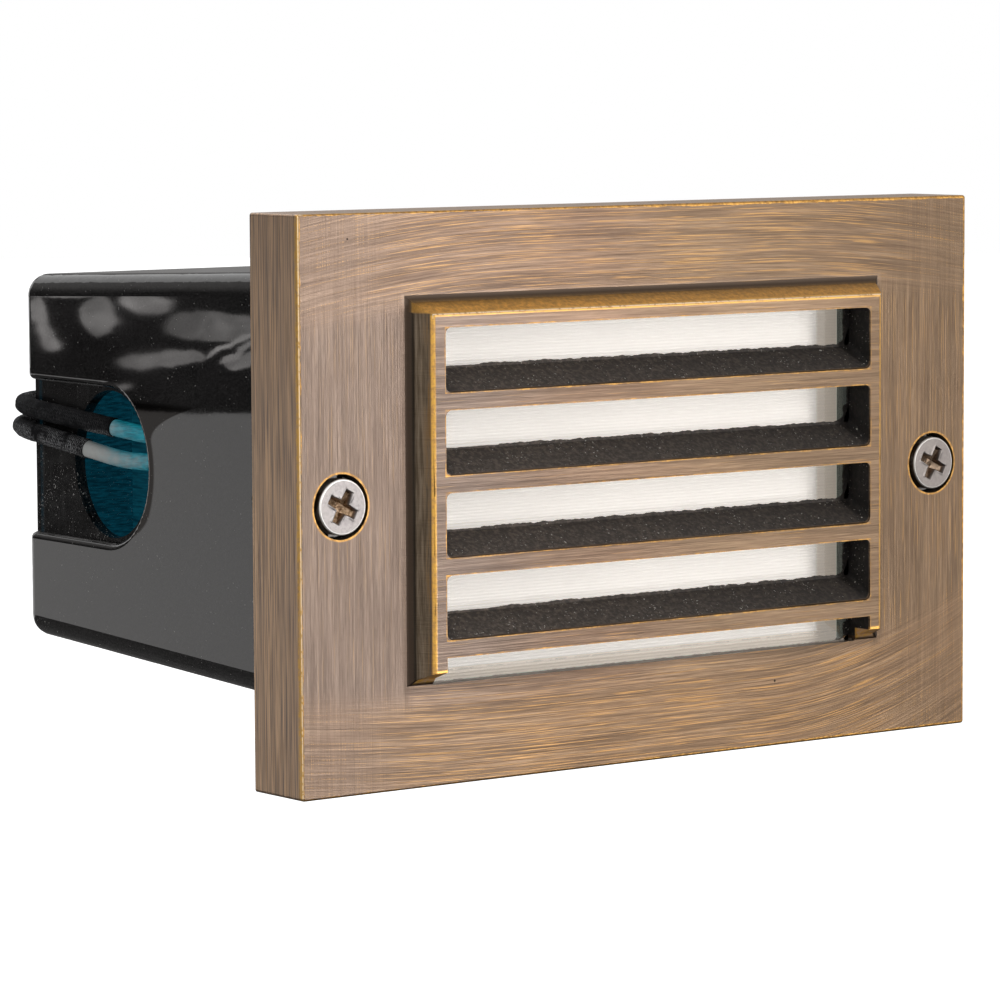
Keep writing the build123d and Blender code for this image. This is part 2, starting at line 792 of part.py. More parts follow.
# Nylon tie round the lower stretch of the coil's turns
coil_in_r = coil_out_r - coil_half_turns * coil_pitch / 2
with BuildPart() as coil_tie:
    tie_low = coil_z - coil_out_r - lead_d / 2 - tie_gap
    tie_high = coil_z - coil_in_r + lead_d / 2 + tie_gap
    tie_near = layer_y["upper"] - lead_d / 2 - tie_gap
    tie_far = layer_y["lower"] + lead_d / 2 + tie_gap
    with BuildSketch(Plane.YZ.offset(coil_x - tie_w / 2)):
        with Locations(((tie_near + tie_far) / 2, (tie_low + tie_high) / 2)):
            RectangleRounded(tie_far - tie_near + 2 * tie_t, tie_high - tie_low + 2 * tie_t, 2 * tie_t)
            RectangleRounded(tie_far - tie_near, tie_high - tie_low, tie_t, mode=Mode.SUBTRACT)
    extrude(amount=tie_w)
    with BuildSketch(Plane.YZ.offset(coil_x - tie_head / 2)):
        with Locations((tie_far + tie_t + tie_head / 4, (tie_low + tie_high) / 2)):
            RectangleRounded(tie_head / 2 + tie_t, tie_head, tie_t / 2)
    extrude(amount=tie_head)
save(coil_tie, "coil_tie")
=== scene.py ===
import math
import bpy
import numpy as np
from mathutils import Matrix, Vector


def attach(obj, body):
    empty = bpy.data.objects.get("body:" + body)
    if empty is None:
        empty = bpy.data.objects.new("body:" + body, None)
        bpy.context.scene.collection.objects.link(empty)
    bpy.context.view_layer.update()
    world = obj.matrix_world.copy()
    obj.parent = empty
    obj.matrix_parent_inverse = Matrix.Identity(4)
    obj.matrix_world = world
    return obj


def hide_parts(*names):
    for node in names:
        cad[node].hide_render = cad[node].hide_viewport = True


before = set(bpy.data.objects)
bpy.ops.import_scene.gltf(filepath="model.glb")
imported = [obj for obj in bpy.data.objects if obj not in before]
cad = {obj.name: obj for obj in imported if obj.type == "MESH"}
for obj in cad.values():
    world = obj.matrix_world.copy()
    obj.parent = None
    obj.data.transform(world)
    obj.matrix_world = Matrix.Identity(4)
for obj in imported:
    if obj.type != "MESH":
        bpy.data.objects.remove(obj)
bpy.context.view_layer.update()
scene = bpy.context.scene
mm = 0.001
print("stage 1: frame loaded with", len(cad), "nodes")


def ringAngles(count):
    return np.linspace(0, math.tau, count, endpoint=False)


def polar(radius, angle):
    return radius * np.array([math.cos(angle), math.sin(angle)])


def addObject(name, data):
    made = bpy.data.objects.new(name, data)
    scene.collection.objects.link(made)
    return made


def addMesh(name, points, faces):
    mesh = bpy.data.meshes.new(name)
    mesh.from_pydata(points, [], faces)
    return addObject(name, mesh)


# a material under construction: every pattern is read in millimetres from the object's own frame
class Recipe:
    def __init__(self, name, **settings):
        self.mat = bpy.data.materials.new(name)
        self.mat.use_nodes = True
        self.tree = self.mat.node_tree
        self.tree.nodes.clear()
        self.end = self.add("ShaderNodeOutputMaterial")
        self.shader = self.add("ShaderNodeBsdfPrincipled", settings)
        self.put(self.end.inputs["Surface"], self.shader.outputs[0])
        self.spot = self.dim(self.add("ShaderNodeTexCoord").outputs["Object"], 1 / mm)
        self.x, self.y, self.z = self.add("ShaderNodeSeparateXYZ", {0: self.spot}).outputs

    def add(self, kind, inputs=None, **props):
        node = self.tree.nodes.new(kind)
        for key, value in props.items():
            setattr(node, key, value)
        for key, value in (inputs or {}).items():
            self.put(node.inputs[key], value)
        return node

    def put(self, socket, value):
        if isinstance(value, bpy.types.NodeSocket):
            self.tree.links.new(value, socket)
        else:
            socket.default_value = value

    def set(self, **inputs):
        for key, value in inputs.items():
            self.put(self.shader.inputs[key.replace("_", " ")], value)

    def calc(self, operation, *values, clamp=False):
        node = self.add("ShaderNodeMath", operation=operation, use_clamp=clamp)
        for socket, value in zip(node.inputs, values):
            self.put(socket, value)
        return node.outputs[0]

    def chain(self, operation, values):           # the same operation over two or more values, from the left
        result = values[0]
        for value in values[1:]:
            result = self.calc(operation, result, value)
        return result

    def plus(self, *values):
        return self.chain("ADD", values)

    def times(self, *values):
        return self.chain("MULTIPLY", values)

    def least(self, *values):
        return self.chain("MINIMUM", values)

    def most(self, *values):
        return self.chain("MAXIMUM", values)

    def minus(self, a, b):
        return self.calc("SUBTRACT", a, b)

    def flip(self, value):
        return self.minus(1.0, value)

    def size(self, value):                        # without its sign
        return self.calc("ABSOLUTE", value)

    def reach(self, a, b):                        # distance from the middle
        return self.calc("SQRT", self.plus(self.times(a, a), self.times(b, b)))

    def step(self, value, low, high):             # smooth 0 to 1 between low and high, either way round
        node = self.add("ShaderNodeMapRange", {"Value": value, "From Min": low, "From Max": high},
                        interpolation_type="SMOOTHSTEP")
        return node.outputs["Result"]

    def steps(self, *ranges):                     # the product of several such steps
        return self.times(*(self.step(*each) for each in ranges))

    def span(self, value, low, high, first, last):   # straight from first to last
        node = self.add("ShaderNodeMapRange", {"Value": value, "From Min": low, "From Max": high,
                                               "To Min": first, "To Max": last})
        return node.outputs["Result"]

    def join(self, a, b, c):
        return self.add("ShaderNodeCombineXYZ", {0: a, 1: b, 2: c}).outputs[0]

    def noise(self, scale, detail=2.0, rough=0.5, twist=0.0, at=None):
        # scale is one number, or one for each axis
        where = self.spot if at is None else at
        if isinstance(scale, tuple):
            where = self.join(*(self.times(*pair) for pair in zip((self.x, self.y, self.z), scale)))
            scale = 1.0
        node = self.add("ShaderNodeTexNoise", {"Vector": where, "Scale": scale, "Detail": detail,
                                               "Roughness": rough, "Distortion": twist})
        return node.outputs[0]

    def mix(self, factor, a, b):                 # colours
        node = self.add("ShaderNodeMix", data_type="RGBA")
        for index, value in ((0, factor), (6, a), (7, b)):
            if isinstance(value, tuple):
                value = (*value, 1.0)
            self.put(node.inputs[index], value)
        return node.outputs[2]

    def blend(self, factor, a, b):               # numbers
        node = self.add("ShaderNodeMix", {0: factor, 2: a, 3: b}, data_type="FLOAT")
        return node.outputs[0]

    def sift(self, value, low, high, a, b):      # from colour a to b as the value goes from low to high
        return self.mix(self.step(value, low, high), a, b)

    def layers(self, colour, *others):            # each an amount and a colour, one over the other
        for amount, other in others:
            colour = self.mix(amount, colour, other)
        return colour

    def dim(self, colour, factor):
        return self.add("ShaderNodeVectorMath", {0: colour, "Scale": factor}, operation="SCALE").outputs[0]

    def relief(self, height, depth, strength=1.0):   # depth in millimetres for a height of 1
        bump = self.add("ShaderNodeBump", {"Strength": strength, "Distance": depth * mm, "Height": height})
        self.set(Normal=bump.outputs[0])


# camera and studio: place in millimetres, angles in radians, focal length in pixels of the photo

cameraSetup = dict(
    place=(-395.2, -500.27, 56.96), turn=0.6471, tip=0.0936, roll=-0.0053, focal=4701.0, pixels=1000.0, sensor=36.0)


def aimCamera(setup):
    turn, tip, roll = setup["turn"], setup["tip"], setup["roll"]
    ahead = Vector((math.sin(turn) * math.cos(tip), math.cos(turn) * math.cos(tip), -math.sin(tip)))
    right = Vector((math.cos(turn), -math.sin(turn), 0.0))
    up = right.cross(ahead)
    rolledRight = math.cos(roll) * right + math.sin(roll) * up
    rolledUp = -math.sin(roll) * right + math.cos(roll) * up
    lens = bpy.data.cameras.new("studioCamera")
    lens.sensor_width = setup["sensor"]
    lens.lens = setup["focal"] * setup["sensor"] / setup["pixels"]
    lens.clip_start = 0.01
    camera = addObject("studioCamera", lens)
    axes = Matrix((rolledRight, rolledUp, -ahead)).transposed().to_4x4()
    camera.matrix_world = Matrix.Translation(Vector(setup["place"]) * mm) @ axes
    scene.camera = camera


studio = dict(
    ambient=0.3, floorDrop=-0.22, floorRadius=6.0, floorSides=96, floorDark=0.84, floorPale=0.88, glowNear=0.8,
    glowFar=0.95, inMirrors=0.75)


def makeWorld(settings):
    # white to the camera, to mirrors and through glass, and a dim even light to everything else
    world = bpy.data.worlds.new("whiteRoom")
    scene.world = world
    world.use_nodes = True
    tree = world.node_tree
    tree.nodes.clear()
    kinds = ("OutputWorld", "Background", "Background", "MixShader", "LightPath", "Math", "Math")
    out, seen, lit, choose, rays, some, all3 = (tree.nodes.new(f"ShaderNode{kind}") for kind in kinds)
    all3.use_clamp = True
    for node, strength in ((seen, 1.0), (lit, settings["ambient"])):
        node.inputs["Color"].default_value = (1.0, 1.0, 1.0, 1.0)
        node.inputs["Strength"].default_value = strength
    for start, end in ((rays.outputs["Is Camera Ray"], some.inputs[0]), (rays.outputs["Is Glossy Ray"], some.inputs[1]),
                       (some.outputs[0], all3.inputs[0]), (rays.outputs["Is Transmission Ray"], all3.inputs[1]),
                       (all3.outputs[0], choose.inputs[0]), (lit.outputs[0], choose.inputs[1]),
                       (seen.outputs[0], choose.inputs[2]), (choose.outputs[0], out.inputs["Surface"])):
        tree.links.new(start, end)


def makeFloor(settings):
    # a flat disc: a fan of triangles from its middle to a circle, level at floorDrop
    count, level, radius = settings["floorSides"], settings["floorDrop"], settings["floorRadius"]
    ring = ringAngles(count)
    circle = np.stack([radius * np.cos(ring), radius * np.sin(ring), np.full(count, level)], axis=1)
    points = [(0.0, 0.0, level)] + circle.tolist()
    faces = [(0, 1 + i, 1 + (i + 1) % count) for i in range(count)]
    floor = addMesh("paleFloor", points, faces)
    r = Recipe("paleSweep", **{"Roughness": 0.9, "Specular IOR Level": 0.1})
    shade = r.noise(0.002)
    r.set(Base_Color=r.mix(shade, (settings["floorDark"],) * 3, (settings["floorPale"],) * 3))
    rays = r.add("ShaderNodeLightPath")
    seen = r.plus(rays.outputs["Is Camera Ray"], r.times(rays.outputs["Is Glossy Ray"], settings["inMirrors"]))
    seen = r.calc("ADD", seen, rays.outputs["Is Transmission Ray"], clamp=True)
    r.set(Emission_Color=(1.0, 1.0, 1.0, 1.0))
    away = r.add("ShaderNodeVectorMath", {0: r.spot}, operation="LENGTH").outputs["Value"]
    glow = r.span(away, 300.0, 2000.0, settings["glowNear"], settings["glowFar"])
    r.set(Emission_Strength=r.times(seen, glow))
    floor.data.materials.append(r.mat)


def softLamp(name, azimuth, elevation, distance, size, level):
    # azimuth from -Y towards +X; level is the brightness it adds to a white card facing it
    light = bpy.data.lights.new(name, "AREA")
    light.shape = "RECTANGLE"
    light.size, light.size_y = size
    light.energy = level * math.pi**2 * distance**2
    lamp = addObject(name, light)
    a, e = math.radians(azimuth), math.radians(elevation)
    way = Vector((math.sin(a) * math.cos(e), -math.cos(a) * math.cos(e), math.sin(e)))
    lamp.location = way * distance
    lamp.rotation_euler = (-way).to_track_quat("-Z", "Y").to_euler()


def mirrorCard(name, corners, level, shapes=()):
    # a card that only mirrors see; shapes are soft paler ovals on it, in metres along and up
    card = addMesh(name, corners, [(0, 1, 2, 3)])
    r = Recipe(name, **{"Base Color": (0, 0, 0, 1), "Specular IOR Level": 0.0})
    tone = r.span(r.noise(0.02), 0.3, 0.7, *level[:2])
    tone = r.plus(tone, r.times(r.step(r.z, 200.0, 1300.0), level[2]))
    a = math.radians(cardSetup["azimuth"])
    wobble = r.times(r.minus(r.noise(0.06), 0.5), 14.0)
    along = r.plus(r.times(r.x, math.cos(a)), r.times(r.y, math.sin(a)), wobble)
    mottle = r.span(r.noise(0.045, 3.0, 0.6, 0.6), 0.35, 0.65, 0.6, 1.15)
    for s, z, wide, high, tilt, pale in shapes:
        c, d = math.cos(math.radians(tilt)), math.sin(math.radians(tilt))
        u = r.minus(along, s / mm)
        v = r.plus(r.minus(r.z, z / mm), r.times(wobble, 0.5))
        p = r.times(r.plus(r.times(u, c), r.times(v, d)), mm / wide)
        q = r.times(r.minus(r.times(v, c), r.times(u, d)), mm / high)
        inside = r.step(r.plus(*[r.calc("POWER", r.size(part), 3.0) for part in (p, q)]), 1.14, 0.86)
        tone = r.most(tone, r.times(inside, pale, mottle))
    r.set(Emission_Color=(1.0, 0.98, 0.97, 1.0), Emission_Strength=tone)
    card.data.materials.append(r.mat)
    for way in ("camera", "diffuse", "shadow", "transmission"):
        setattr(card, f"visible_{way}", False)


# the room that the gloss black side mirrors: a dark wall with a few pale things before it
cardSetup = dict(azimuth=37, distance=3.0, width=3.4, low=-0.2125, high=1.9, level=(0.03, 0.08, 0.3))
# place along and up, half width, half height, tilt and paleness of each thing in that room
roomShapes = [
    (0.518, -0.144, 0.0065, 0.022, -21, 2.2), (0.4756, -0.138, 0.0135, 0.015, -31, 1.5),
    (0.437, -0.129, 0.0195, 0.007, 8, 2.3), (0.388, -0.147, 0.033, 0.011, 2, 1.25),
    (0.426, -0.173, 0.033, 0.0062, -5, 1.5), (0.374, -0.161, 0.021, 0.002, -27, 2.4),
    (0.3676, -0.167, 0.015, 0.0024, -40, 2.2), (0.364, -0.174, 0.012, 0.005, -20, 1.6),
    (0.4616, -0.1935, 0.011, 0.0022, 0, 1.4), (0.503, -0.1215, 0.027, 0.0011, 0, 2.6),
    (0.434, -0.1165, 0.026, 0.0009, -1, 1.6)]


def uprightCard(azimuth, distance, width, low, high):
    # corners of an upright card facing the object, azimuth from +Y towards -X
    a = math.radians(azimuth)
    middle = np.array([-math.sin(a), math.cos(a)]) * distance
    across = polar(width / 2, a)
    ends = (middle - across, middle + across)
    order = ((0, low), (1, low), (1, high), (0, high))
    return [(float(ends[k][0]), float(ends[k][1]), z) for k, z in order]


scene.view_settings.view_transform = "Standard"
aimCamera(cameraSetup)
makeWorld(studio)
makeFloor(studio)
softLamp("keyLamp", 26, 3, 1.3, (0.2, 1.1), 0.72)
softLamp("leftFill", -62, 24, 1.4, (0.8, 0.8), 0.12)
softLamp("backFill", 165, 50, 1.5, (0.9, 0.9), 0.2)
leftCard = uprightCard(*(cardSetup[key] for key in ("azimuth", "distance", "width", "low", "high")))
mirrorCard("darkRoomLeft", leftCard, cardSetup["level"], roomShapes)
mirrorCard("greyBehind", uprightCard(-42, 2.6, 3.0, -0.1, 0.9), (0.2, 0.25, 0.0))
mirrorCard("darkBelow", [(-0.75, -0.6, -0.215), (0.75, -0.6, -0.215), (0.75, 0.9, -0.215), (-0.75, 0.9, -0.215)],
           (0.08, 0.16, 0.0))
print("stage 2: camera, white room and lamps")


# leads: one smooth line each, from the sleeve's end in the hole to the coil's inner end

leadSetup = dict(
    diameter=2.8, ringPoints=28, stepLength=0.3, strandPitch=2.6, strands=8, weaveDepth=0.11, tipDiameter=1.3,
    tipLength=8.0, tipRows=60, tipColumns=42, lobes=7, lobeHeight=0.12, lobeTwist=6.0)
leadRoutes = {
    "upper": dict(depth=87.2, length=266.0, points=[
        (-37.6, 63.5, 5.1), (-40.45, 73.6, 6.5), (-41.0, 82.6, 7.3), (-38.0, 87.35, 7.7), (-26.8, 87.2, 8.2)]),
    "lower": dict(depth=90.5, length=259.6, points=[
        (-38.6, 69.2, 1.8), (-40.3, 75.0, 3.0), (-41.0, 82.9, 4.0), (-38.1, 88.3, 4.35), (-27.3, 90.5, 4.9)]),
}
coilSetup = dict(
    centre=(-5.0, -2.5), outer=18.0, pitch=3.6, halfTurns=4, endRadius=8.4, endTurn=130.0, perHalf=8, perEnd=6)


def coilPoints(route, coil, diameter):
    # half turns whose radius shrinks by half a pitch, then one tighter arc into the middle
    runX, depth, runZ = route["points"][-1]
    outer = coil["outer"]
    gapX, gapZ = coil["centre"][0] - runX, coil["centre"][1] - runZ
    gap = math.hypot(gapX, gapZ)
    heading = math.atan2(gapZ, gapX) + math.asin(outer / gap)
    way = polar(1.0, heading)
    end = np.array([runX, runZ]) + math.sqrt(gap**2 - outer**2) * way   # where the coil begins
    points = [end - 2 * diameter * way]
    angle = heading + math.pi / 2
    turns = [(outer - k * coil["pitch"] / 2, math.pi, coil["perHalf"]) for k in range(coil["halfTurns"])]
    turns.append((coil["endRadius"], math.radians(coil["endTurn"]), coil["perEnd"]))
    for radius, sweep, count in turns:
        centre = end - polar(radius, angle)
        bulge = 8 / (6 + 2 * math.cos(sweep / count))   # keeps the smooth line on the arc
        for k in range(count):
            a = angle - sweep * (k + 0.5) / count
            points.append(centre + polar(radius * bulge, a))
        angle -= sweep
        end = centre + polar(radius, angle)
    away = np.array([math.sin(angle), -math.cos(angle)])
    points.append(end + diameter * away)
    return [(p[0], depth, p[1]) for p in points], points[-1], away


def smoothLine(name, points):
    curve = bpy.data.curves.new(name, "CURVE")
    curve.dimensions = "3D"
    curve.resolution_u = 16
    spline = curve.splines.new("NURBS")
    spline.points.add(len(points) - 1)
    for spot, point in zip(spline.points, points):
        spot.co = (*(np.array(point) * mm), 1.0)
    spline.order_u = 3
    spline.use_endpoint_u = True
    return addObject(name, curve)


def readLine(line):
    # the points of a line with no thickness, in metres
    flat = bpy.data.meshes.new_from_object(line.evaluated_get(bpy.context.evaluated_depsgraph_get()))
    spots = np.empty(len(flat.vertices) * 3)
    flat.vertices.foreach_get("co", spots)
    bpy.data.meshes.remove(flat)
    return spots.reshape(-1, 3)


def evenly(spots, gap):
    # the same path with its points a gap apart
    runs = np.linalg.norm(np.diff(spots, axis=0), axis=1)
    keep = np.concatenate([[True], runs > 1e-9])
    spots = spots[keep]
    far = np.concatenate([[0], np.cumsum(np.linalg.norm(np.diff(spots, axis=0), axis=1))])
    marks = np.linspace(0, far[-1], max(2, int(round(far[-1] / gap)) + 1))
    return np.stack([np.interp(marks, far, spots[:, k]) for k in range(3)], axis=1), marks


def carryFrames(spots):
    # a pair of directions square to the path at each point, turning as little as possible
    ways = np.gradient(spots, axis=0)
    ways /= np.linalg.norm(ways, axis=1, keepdims=True)
    first = np.cross(ways[0], [0.0, 0.0, 1.0])
    sides = [first / np.linalg.norm(first)]
    for way in ways[1:]:
        side = sides[-1] - way * np.dot(sides[-1], way)
        sides.append(side / np.linalg.norm(side))
    sides = np.array(sides)
    return sides, np.cross(ways, sides)


def skin(name, grid, wrapAcross, caps=False, uv=None):
    # quads over a grid of points (rows, columns, 3) in metres; columns may close on themselves
    rows, columns = grid.shape[:2]
    index = np.arange(rows * columns).reshape(rows, columns)
    right = np.roll(index, -1, axis=1) if wrapAcross else index[:, 1:]
    left = index if wrapAcross else index[:, :-1]
    quads = np.stack([left[:-1], right[:-1], right[1:], left[1:]], axis=-1).reshape(-1, 4)
    points = grid.reshape(-1, 3)
    faces = [tuple(q) for q in quads.tolist()]
    if caps:
        points = np.vstack([points, grid[0].mean(axis=0), grid[-1].mean(axis=0)])
        low, high = rows * columns, rows * columns + 1
        faces += [(low, int(index[0, (k + 1) % columns]), int(index[0, k])) for k in range(columns)]
        faces += [(high, int(index[-1, k]), int(index[-1, (k + 1) % columns])) for k in range(columns)]
    piece = addMesh(name, points.tolist(), faces)
    mesh = piece.data
    mesh.polygons.foreach_set("use_smooth", np.ones(len(mesh.polygons), dtype=bool))
    if uv is not None:
        layer = mesh.uv_layers.new(name="weave")
        corner = np.empty(len(mesh.loops), dtype=np.int32)
        mesh.loops.foreach_get("vertex_index", corner)
        flat = np.vstack([uv.reshape(-1, 2), np.zeros((2, 2))])
        layer.data.foreach_set("uv", flat[corner].ravel())
    return piece


def makeLead(side, route, coil, settings):
    # a tube round the line: radius plus the crests of two opposite sets of helical strands
    diameter, depth = settings["diameter"], settings["weaveDepth"]
    ends, last, away = coilPoints(route, coil, diameter)
    line = smoothLine(f"leadLine_{side}", route["points"] + ends)
    spots, marks = evenly(readLine(line), settings["stepLength"] * mm)
    bpy.data.objects.remove(line)
    sides, ups = carryFrames(spots)
    around = ringAngles(settings["ringPoints"])
    turn = marks[:, None] / mm / settings["strandPitch"]
    half = settings["strands"] / 2
    one = np.cos(half * (around[None, :] + turn))
    two = np.cos(half * (around[None, :] - turn))
    radius = (diameter / 2 - depth / 2 + np.maximum(one, two) * depth / 2)[..., None] * mm
    grid = spots[:, None] + radius * (np.cos(around)[None, :, None] * sides[:, None]
                                      + np.sin(around)[None, :, None] * ups[:, None])
    uv = np.stack(np.broadcast_arrays(around[None, :] / math.tau, marks[:, None] / mm), axis=-1)
    tube = skin(f"sleevedLead_{side}", grid, True, caps=True, uv=uv)
    tip = makeTip(side, np.array([last[0], route["depth"], last[1]]), np.array([away[0], 0.0, away[1]]), settings)
    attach(tube, "housing")
    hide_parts(f"lead_{side}", f"coil_{side}")
    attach(tip, "housing")
    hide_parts("lead_tips")
    return tube, tip


def makeTip(side, start, way, settings):
    # a straight bundle whose outline has lobes that twist along it, rounded off over its last 4 hundredths
    steps = np.linspace(0, 1, settings["tipRows"])
    around = ringAngles(settings["tipColumns"])
    high = settings["lobeHeight"]
    twisted = around[None, :] + steps[:, None] * settings["lobeTwist"]
    lobe = high * np.abs(np.cos(settings["lobes"] / 2 * twisted))
    close = np.sqrt(np.clip(1 - np.clip((steps - 0.96) / 0.04, 0, 1) ** 2, 0.04, 1))[:, None]
    radius = (settings["tipDiameter"] / 2 - high + lobe) * close
    across = np.array([0.0, 1.0, 0.0])
    up = np.cross(way, across)
    grid = start + (steps * settings["tipLength"])[:, None, None] * way \
        + radius[..., None] * (np.cos(around)[None, :, None] * across + np.sin(around)[None, :, None] * up)
    return skin(f"bareTip_{side}", grid * mm, True, caps=True)


leadPieces = [makeLead(side, route, coilSetup, leadSetup) for side, route in leadRoutes.items()]
print("stage 3: leads", [len(tube.data.polygons) for tube, tip in leadPieces])


# screws: a flat head with a cross recess, and a rolled thread

screwSetup = dict(
    across=50.8, headFront=11.3, underHead=8.9, headRadius=3.65, edge=0.28, tip=2.1, crest=1.95, rootRadius=1.62,
    pointRadius=1.3, pitch=0.7, columns=144, fineTo=2.7, fineRows=62, rimRows=10, wing=2.35, wingHalf=0.5, flare=0.28,
    sunk=1.5, burr=0.07, burrAway=0.26, burrWide=0.12, dish=0.02)


def makeScrew(side, turn, settings):
    # rows run from the middle of the head out over its rim, down its side and along the helical thread to the tip;
    # the head's front drops inside the cross: two crossed bars that widen to the middle and deepen towards it
    columns, headRadius, edge = settings["columns"], settings["headRadius"], settings["edge"]
    reach, wingHalf, underHead = settings["wing"], settings["wingHalf"], settings["underHead"]
    crest, root, tip = settings["crest"], settings["rootRadius"], settings["tip"]
    around = ringAngles(columns)
    face = np.concatenate([np.linspace(0.02, settings["fineTo"], settings["fineRows"]),
                           np.linspace(settings["fineTo"] + 0.06, headRadius - edge, settings["rimRows"])])
    radius, angle = np.meshgrid(face, around, indexing="ij")
    a = math.radians(turn)
    u = radius * np.cos(angle - a)
    v = radius * np.sin(angle - a)

    def bar(along, across):
        t = np.clip(np.abs(along) / reach, 0, 1)
        half = wingHalf + settings["flare"] * (1 - t) ** 2
        wall = np.clip((half + 0.1 - np.abs(across)) / 0.2, 0, 1)
        stop = np.clip((reach - np.abs(along)) / 0.22, 0, 1)
        return np.minimum(wall, stop) * (1 - 0.6 * t) * settings["sunk"]

    def lip(along, across):
        away = np.abs(across) - wingHalf - settings["burrAway"]
        return np.exp(-(away / settings["burrWide"]) ** 2) * (np.abs(along) < reach + 0.1)

    deep = np.maximum(bar(u, v), bar(v, u))
    burr = settings["burr"] * np.maximum(lip(u, v), lip(v, u)) * (deep < 0.02)
    burr *= 0.5 + 0.5 * np.sin(5 * angle + 3 * radius)
    dish = settings["dish"] * np.cos(radius / headRadius * math.pi / 2)
    front = -(settings["headFront"] - 0.09) - burr - dish + deep
    bend = np.linspace(0, math.pi / 2, 7)[1:]
    rimR = headRadius - edge * (1 - np.sin(bend))
    rimY = -(settings["headFront"] - 0.06) + edge * (1 - np.cos(bend))
    sideR = np.array([headRadius, headRadius - 0.12, crest])
    sideY = np.array([-underHead - 0.12, -underHead, -underHead])
    down = np.arange(-underHead + 0.05, tip - 0.05, settings["pitch"] / 8)
    depth, spin = np.meshgrid(down, around, indexing="ij")
    phase = (depth / settings["pitch"] + spin / math.tau) % 1.0
    ridge = np.clip(1.25 - np.abs(phase * 2 - 1) * 1.6, 0, 1)
    fadeIn = np.clip((tip - 0.3 - depth) / 0.7, 0, 1)
    threadR = root + (crest - root) * ridge * fadeIn

    def even(*values):                            # one row of equal points for each value
        return np.tile(np.concatenate(values)[:, None], columns)

    allR = np.vstack([radius, even(rimR, sideR), threadR, even([settings["pointRadius"], 0.02])])
    allY = np.vstack([front, even(rimY, sideY), depth, even([tip, tip])])
    middle = settings["across"] * (1 if side == "right" else -1)
    grid = np.stack([middle + allR * np.cos(around), allY, allR * np.sin(around)], axis=-1)
    screw = skin(f"crossScrew_{side}", grid[:, ::-1] * mm, True, caps=True)
    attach(screw, f"screw_{side}")
    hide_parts(f"screw_{side}")
    return screw


screwPieces = [makeScrew("left", 61, screwSetup), makeScrew("right", 63, screwSetup)]

# the white sheet behind the pane

sheetSetup = dict(
    front=-4.5, back=-3.7, halfWide=36.8, foot=-24.45, top=25.99, corner=0.6, pitch=0.42, height=0.05, perRib=6,
    columns=24, backPitch=3.2, backHeight=0.25)


def makeSheet(settings):
    # its front rises and falls as a fine cosine up the sheet, its back carries broad square ribs
    foot, top, corner = settings["foot"], settings["top"], settings["corner"]
    rows = int((top - foot) / settings["pitch"] * settings["perRib"])
    z = np.linspace(foot, top, rows)
    near = np.minimum(z - foot, top - z)
    gap = np.clip(corner - near, 0, None)
    half = settings["halfWide"] - corner + np.sqrt(np.clip(corner**2 - gap**2, 0, None))
    ramp = np.linspace(-1, 1, settings["columns"])
    rib = settings["height"] * (0.5 - 0.5 * np.cos(math.tau * z / settings["pitch"]))
    middle = (foot + top) / 2
    broad = np.clip(np.cos(math.tau * (z - middle) / settings["backPitch"]) * 6 + 0.5, 0, 1)
    broad *= settings["backHeight"] * (near > 2.4)
    xs = np.concatenate([half[:, None] * ramp, half[:, None] * ramp[::-1]], axis=1)
    front = np.broadcast_to((settings["front"] + rib)[:, None], (rows, len(ramp)))
    back = np.broadcast_to((settings["back"] + broad)[:, None], (rows, len(ramp)))
    ys = np.concatenate([front, back], axis=1)
    grid = np.stack([xs, ys, np.broadcast_to(z[:, None], xs.shape)], axis=-1)
    sheet = skin("ribbedSheet", grid * mm, True, caps=True)
    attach(sheet, "faceplate")
    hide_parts("diffuser_sheet")
    return sheet


makeSheet(sheetSetup)

# casting flash left along the rear edges of the louvres and beside the right wall

flashSetup = dict(
    front=-9.62, back=-9.33, halfWide=36.45, firstRear=17.19, firstTop=25.64, pitch=10.72, gaps=4, step=0.12,
    high=(0.04, 0.3), round=2.1, foot=-24.1, kinks=(0.62, 0.3, 0.68, 0.55, 0.4))


def raggedness(marks, seed, coarse=1.0):
    # a few sines of unlike pitch with a chipped floor, from 0 to 1
    rng = np.random.default_rng(seed)
    total = np.zeros_like(marks)
    for pitch, share in ((9.0, 0.3), (3.1, 0.3), (1.1, 0.25), (0.42, 0.15)):
        total += share * np.sin(math.tau * marks / (pitch * coarse) + rng.uniform(0, 6.28))
    chips = np.interp(marks, np.linspace(marks[0], marks[-1], 90), rng.uniform(-0.25, 0.25, 90))
    return np.clip(0.5 + 0.5 * total + chips, 0, 1)


def strip(name, first, second, along, settings):
    # a thin closed ribbon between two edge lines; along is 'x' for level ones and 'z' for upright ones
    y0, y1 = np.full(len(first), settings["front"]), np.full(len(first), settings["back"])
    corners = [(second, y0), (first, y0), (first, y1), (second, y1)]
    if along[0] == "x":
        grid = np.stack([np.stack([along[1], y, edge], axis=-1) for edge, y in corners], axis=1)
    else:
        grid = np.stack([np.stack([edge, y, along[1]], axis=-1) for edge, y in corners[::-1]], axis=1)
    piece = skin(name, grid * mm, True, caps=True)
    piece.data.polygons.foreach_set("use_smooth", np.zeros(len(piece.data.polygons), dtype=bool))
    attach(piece, "faceplate")
    return piece


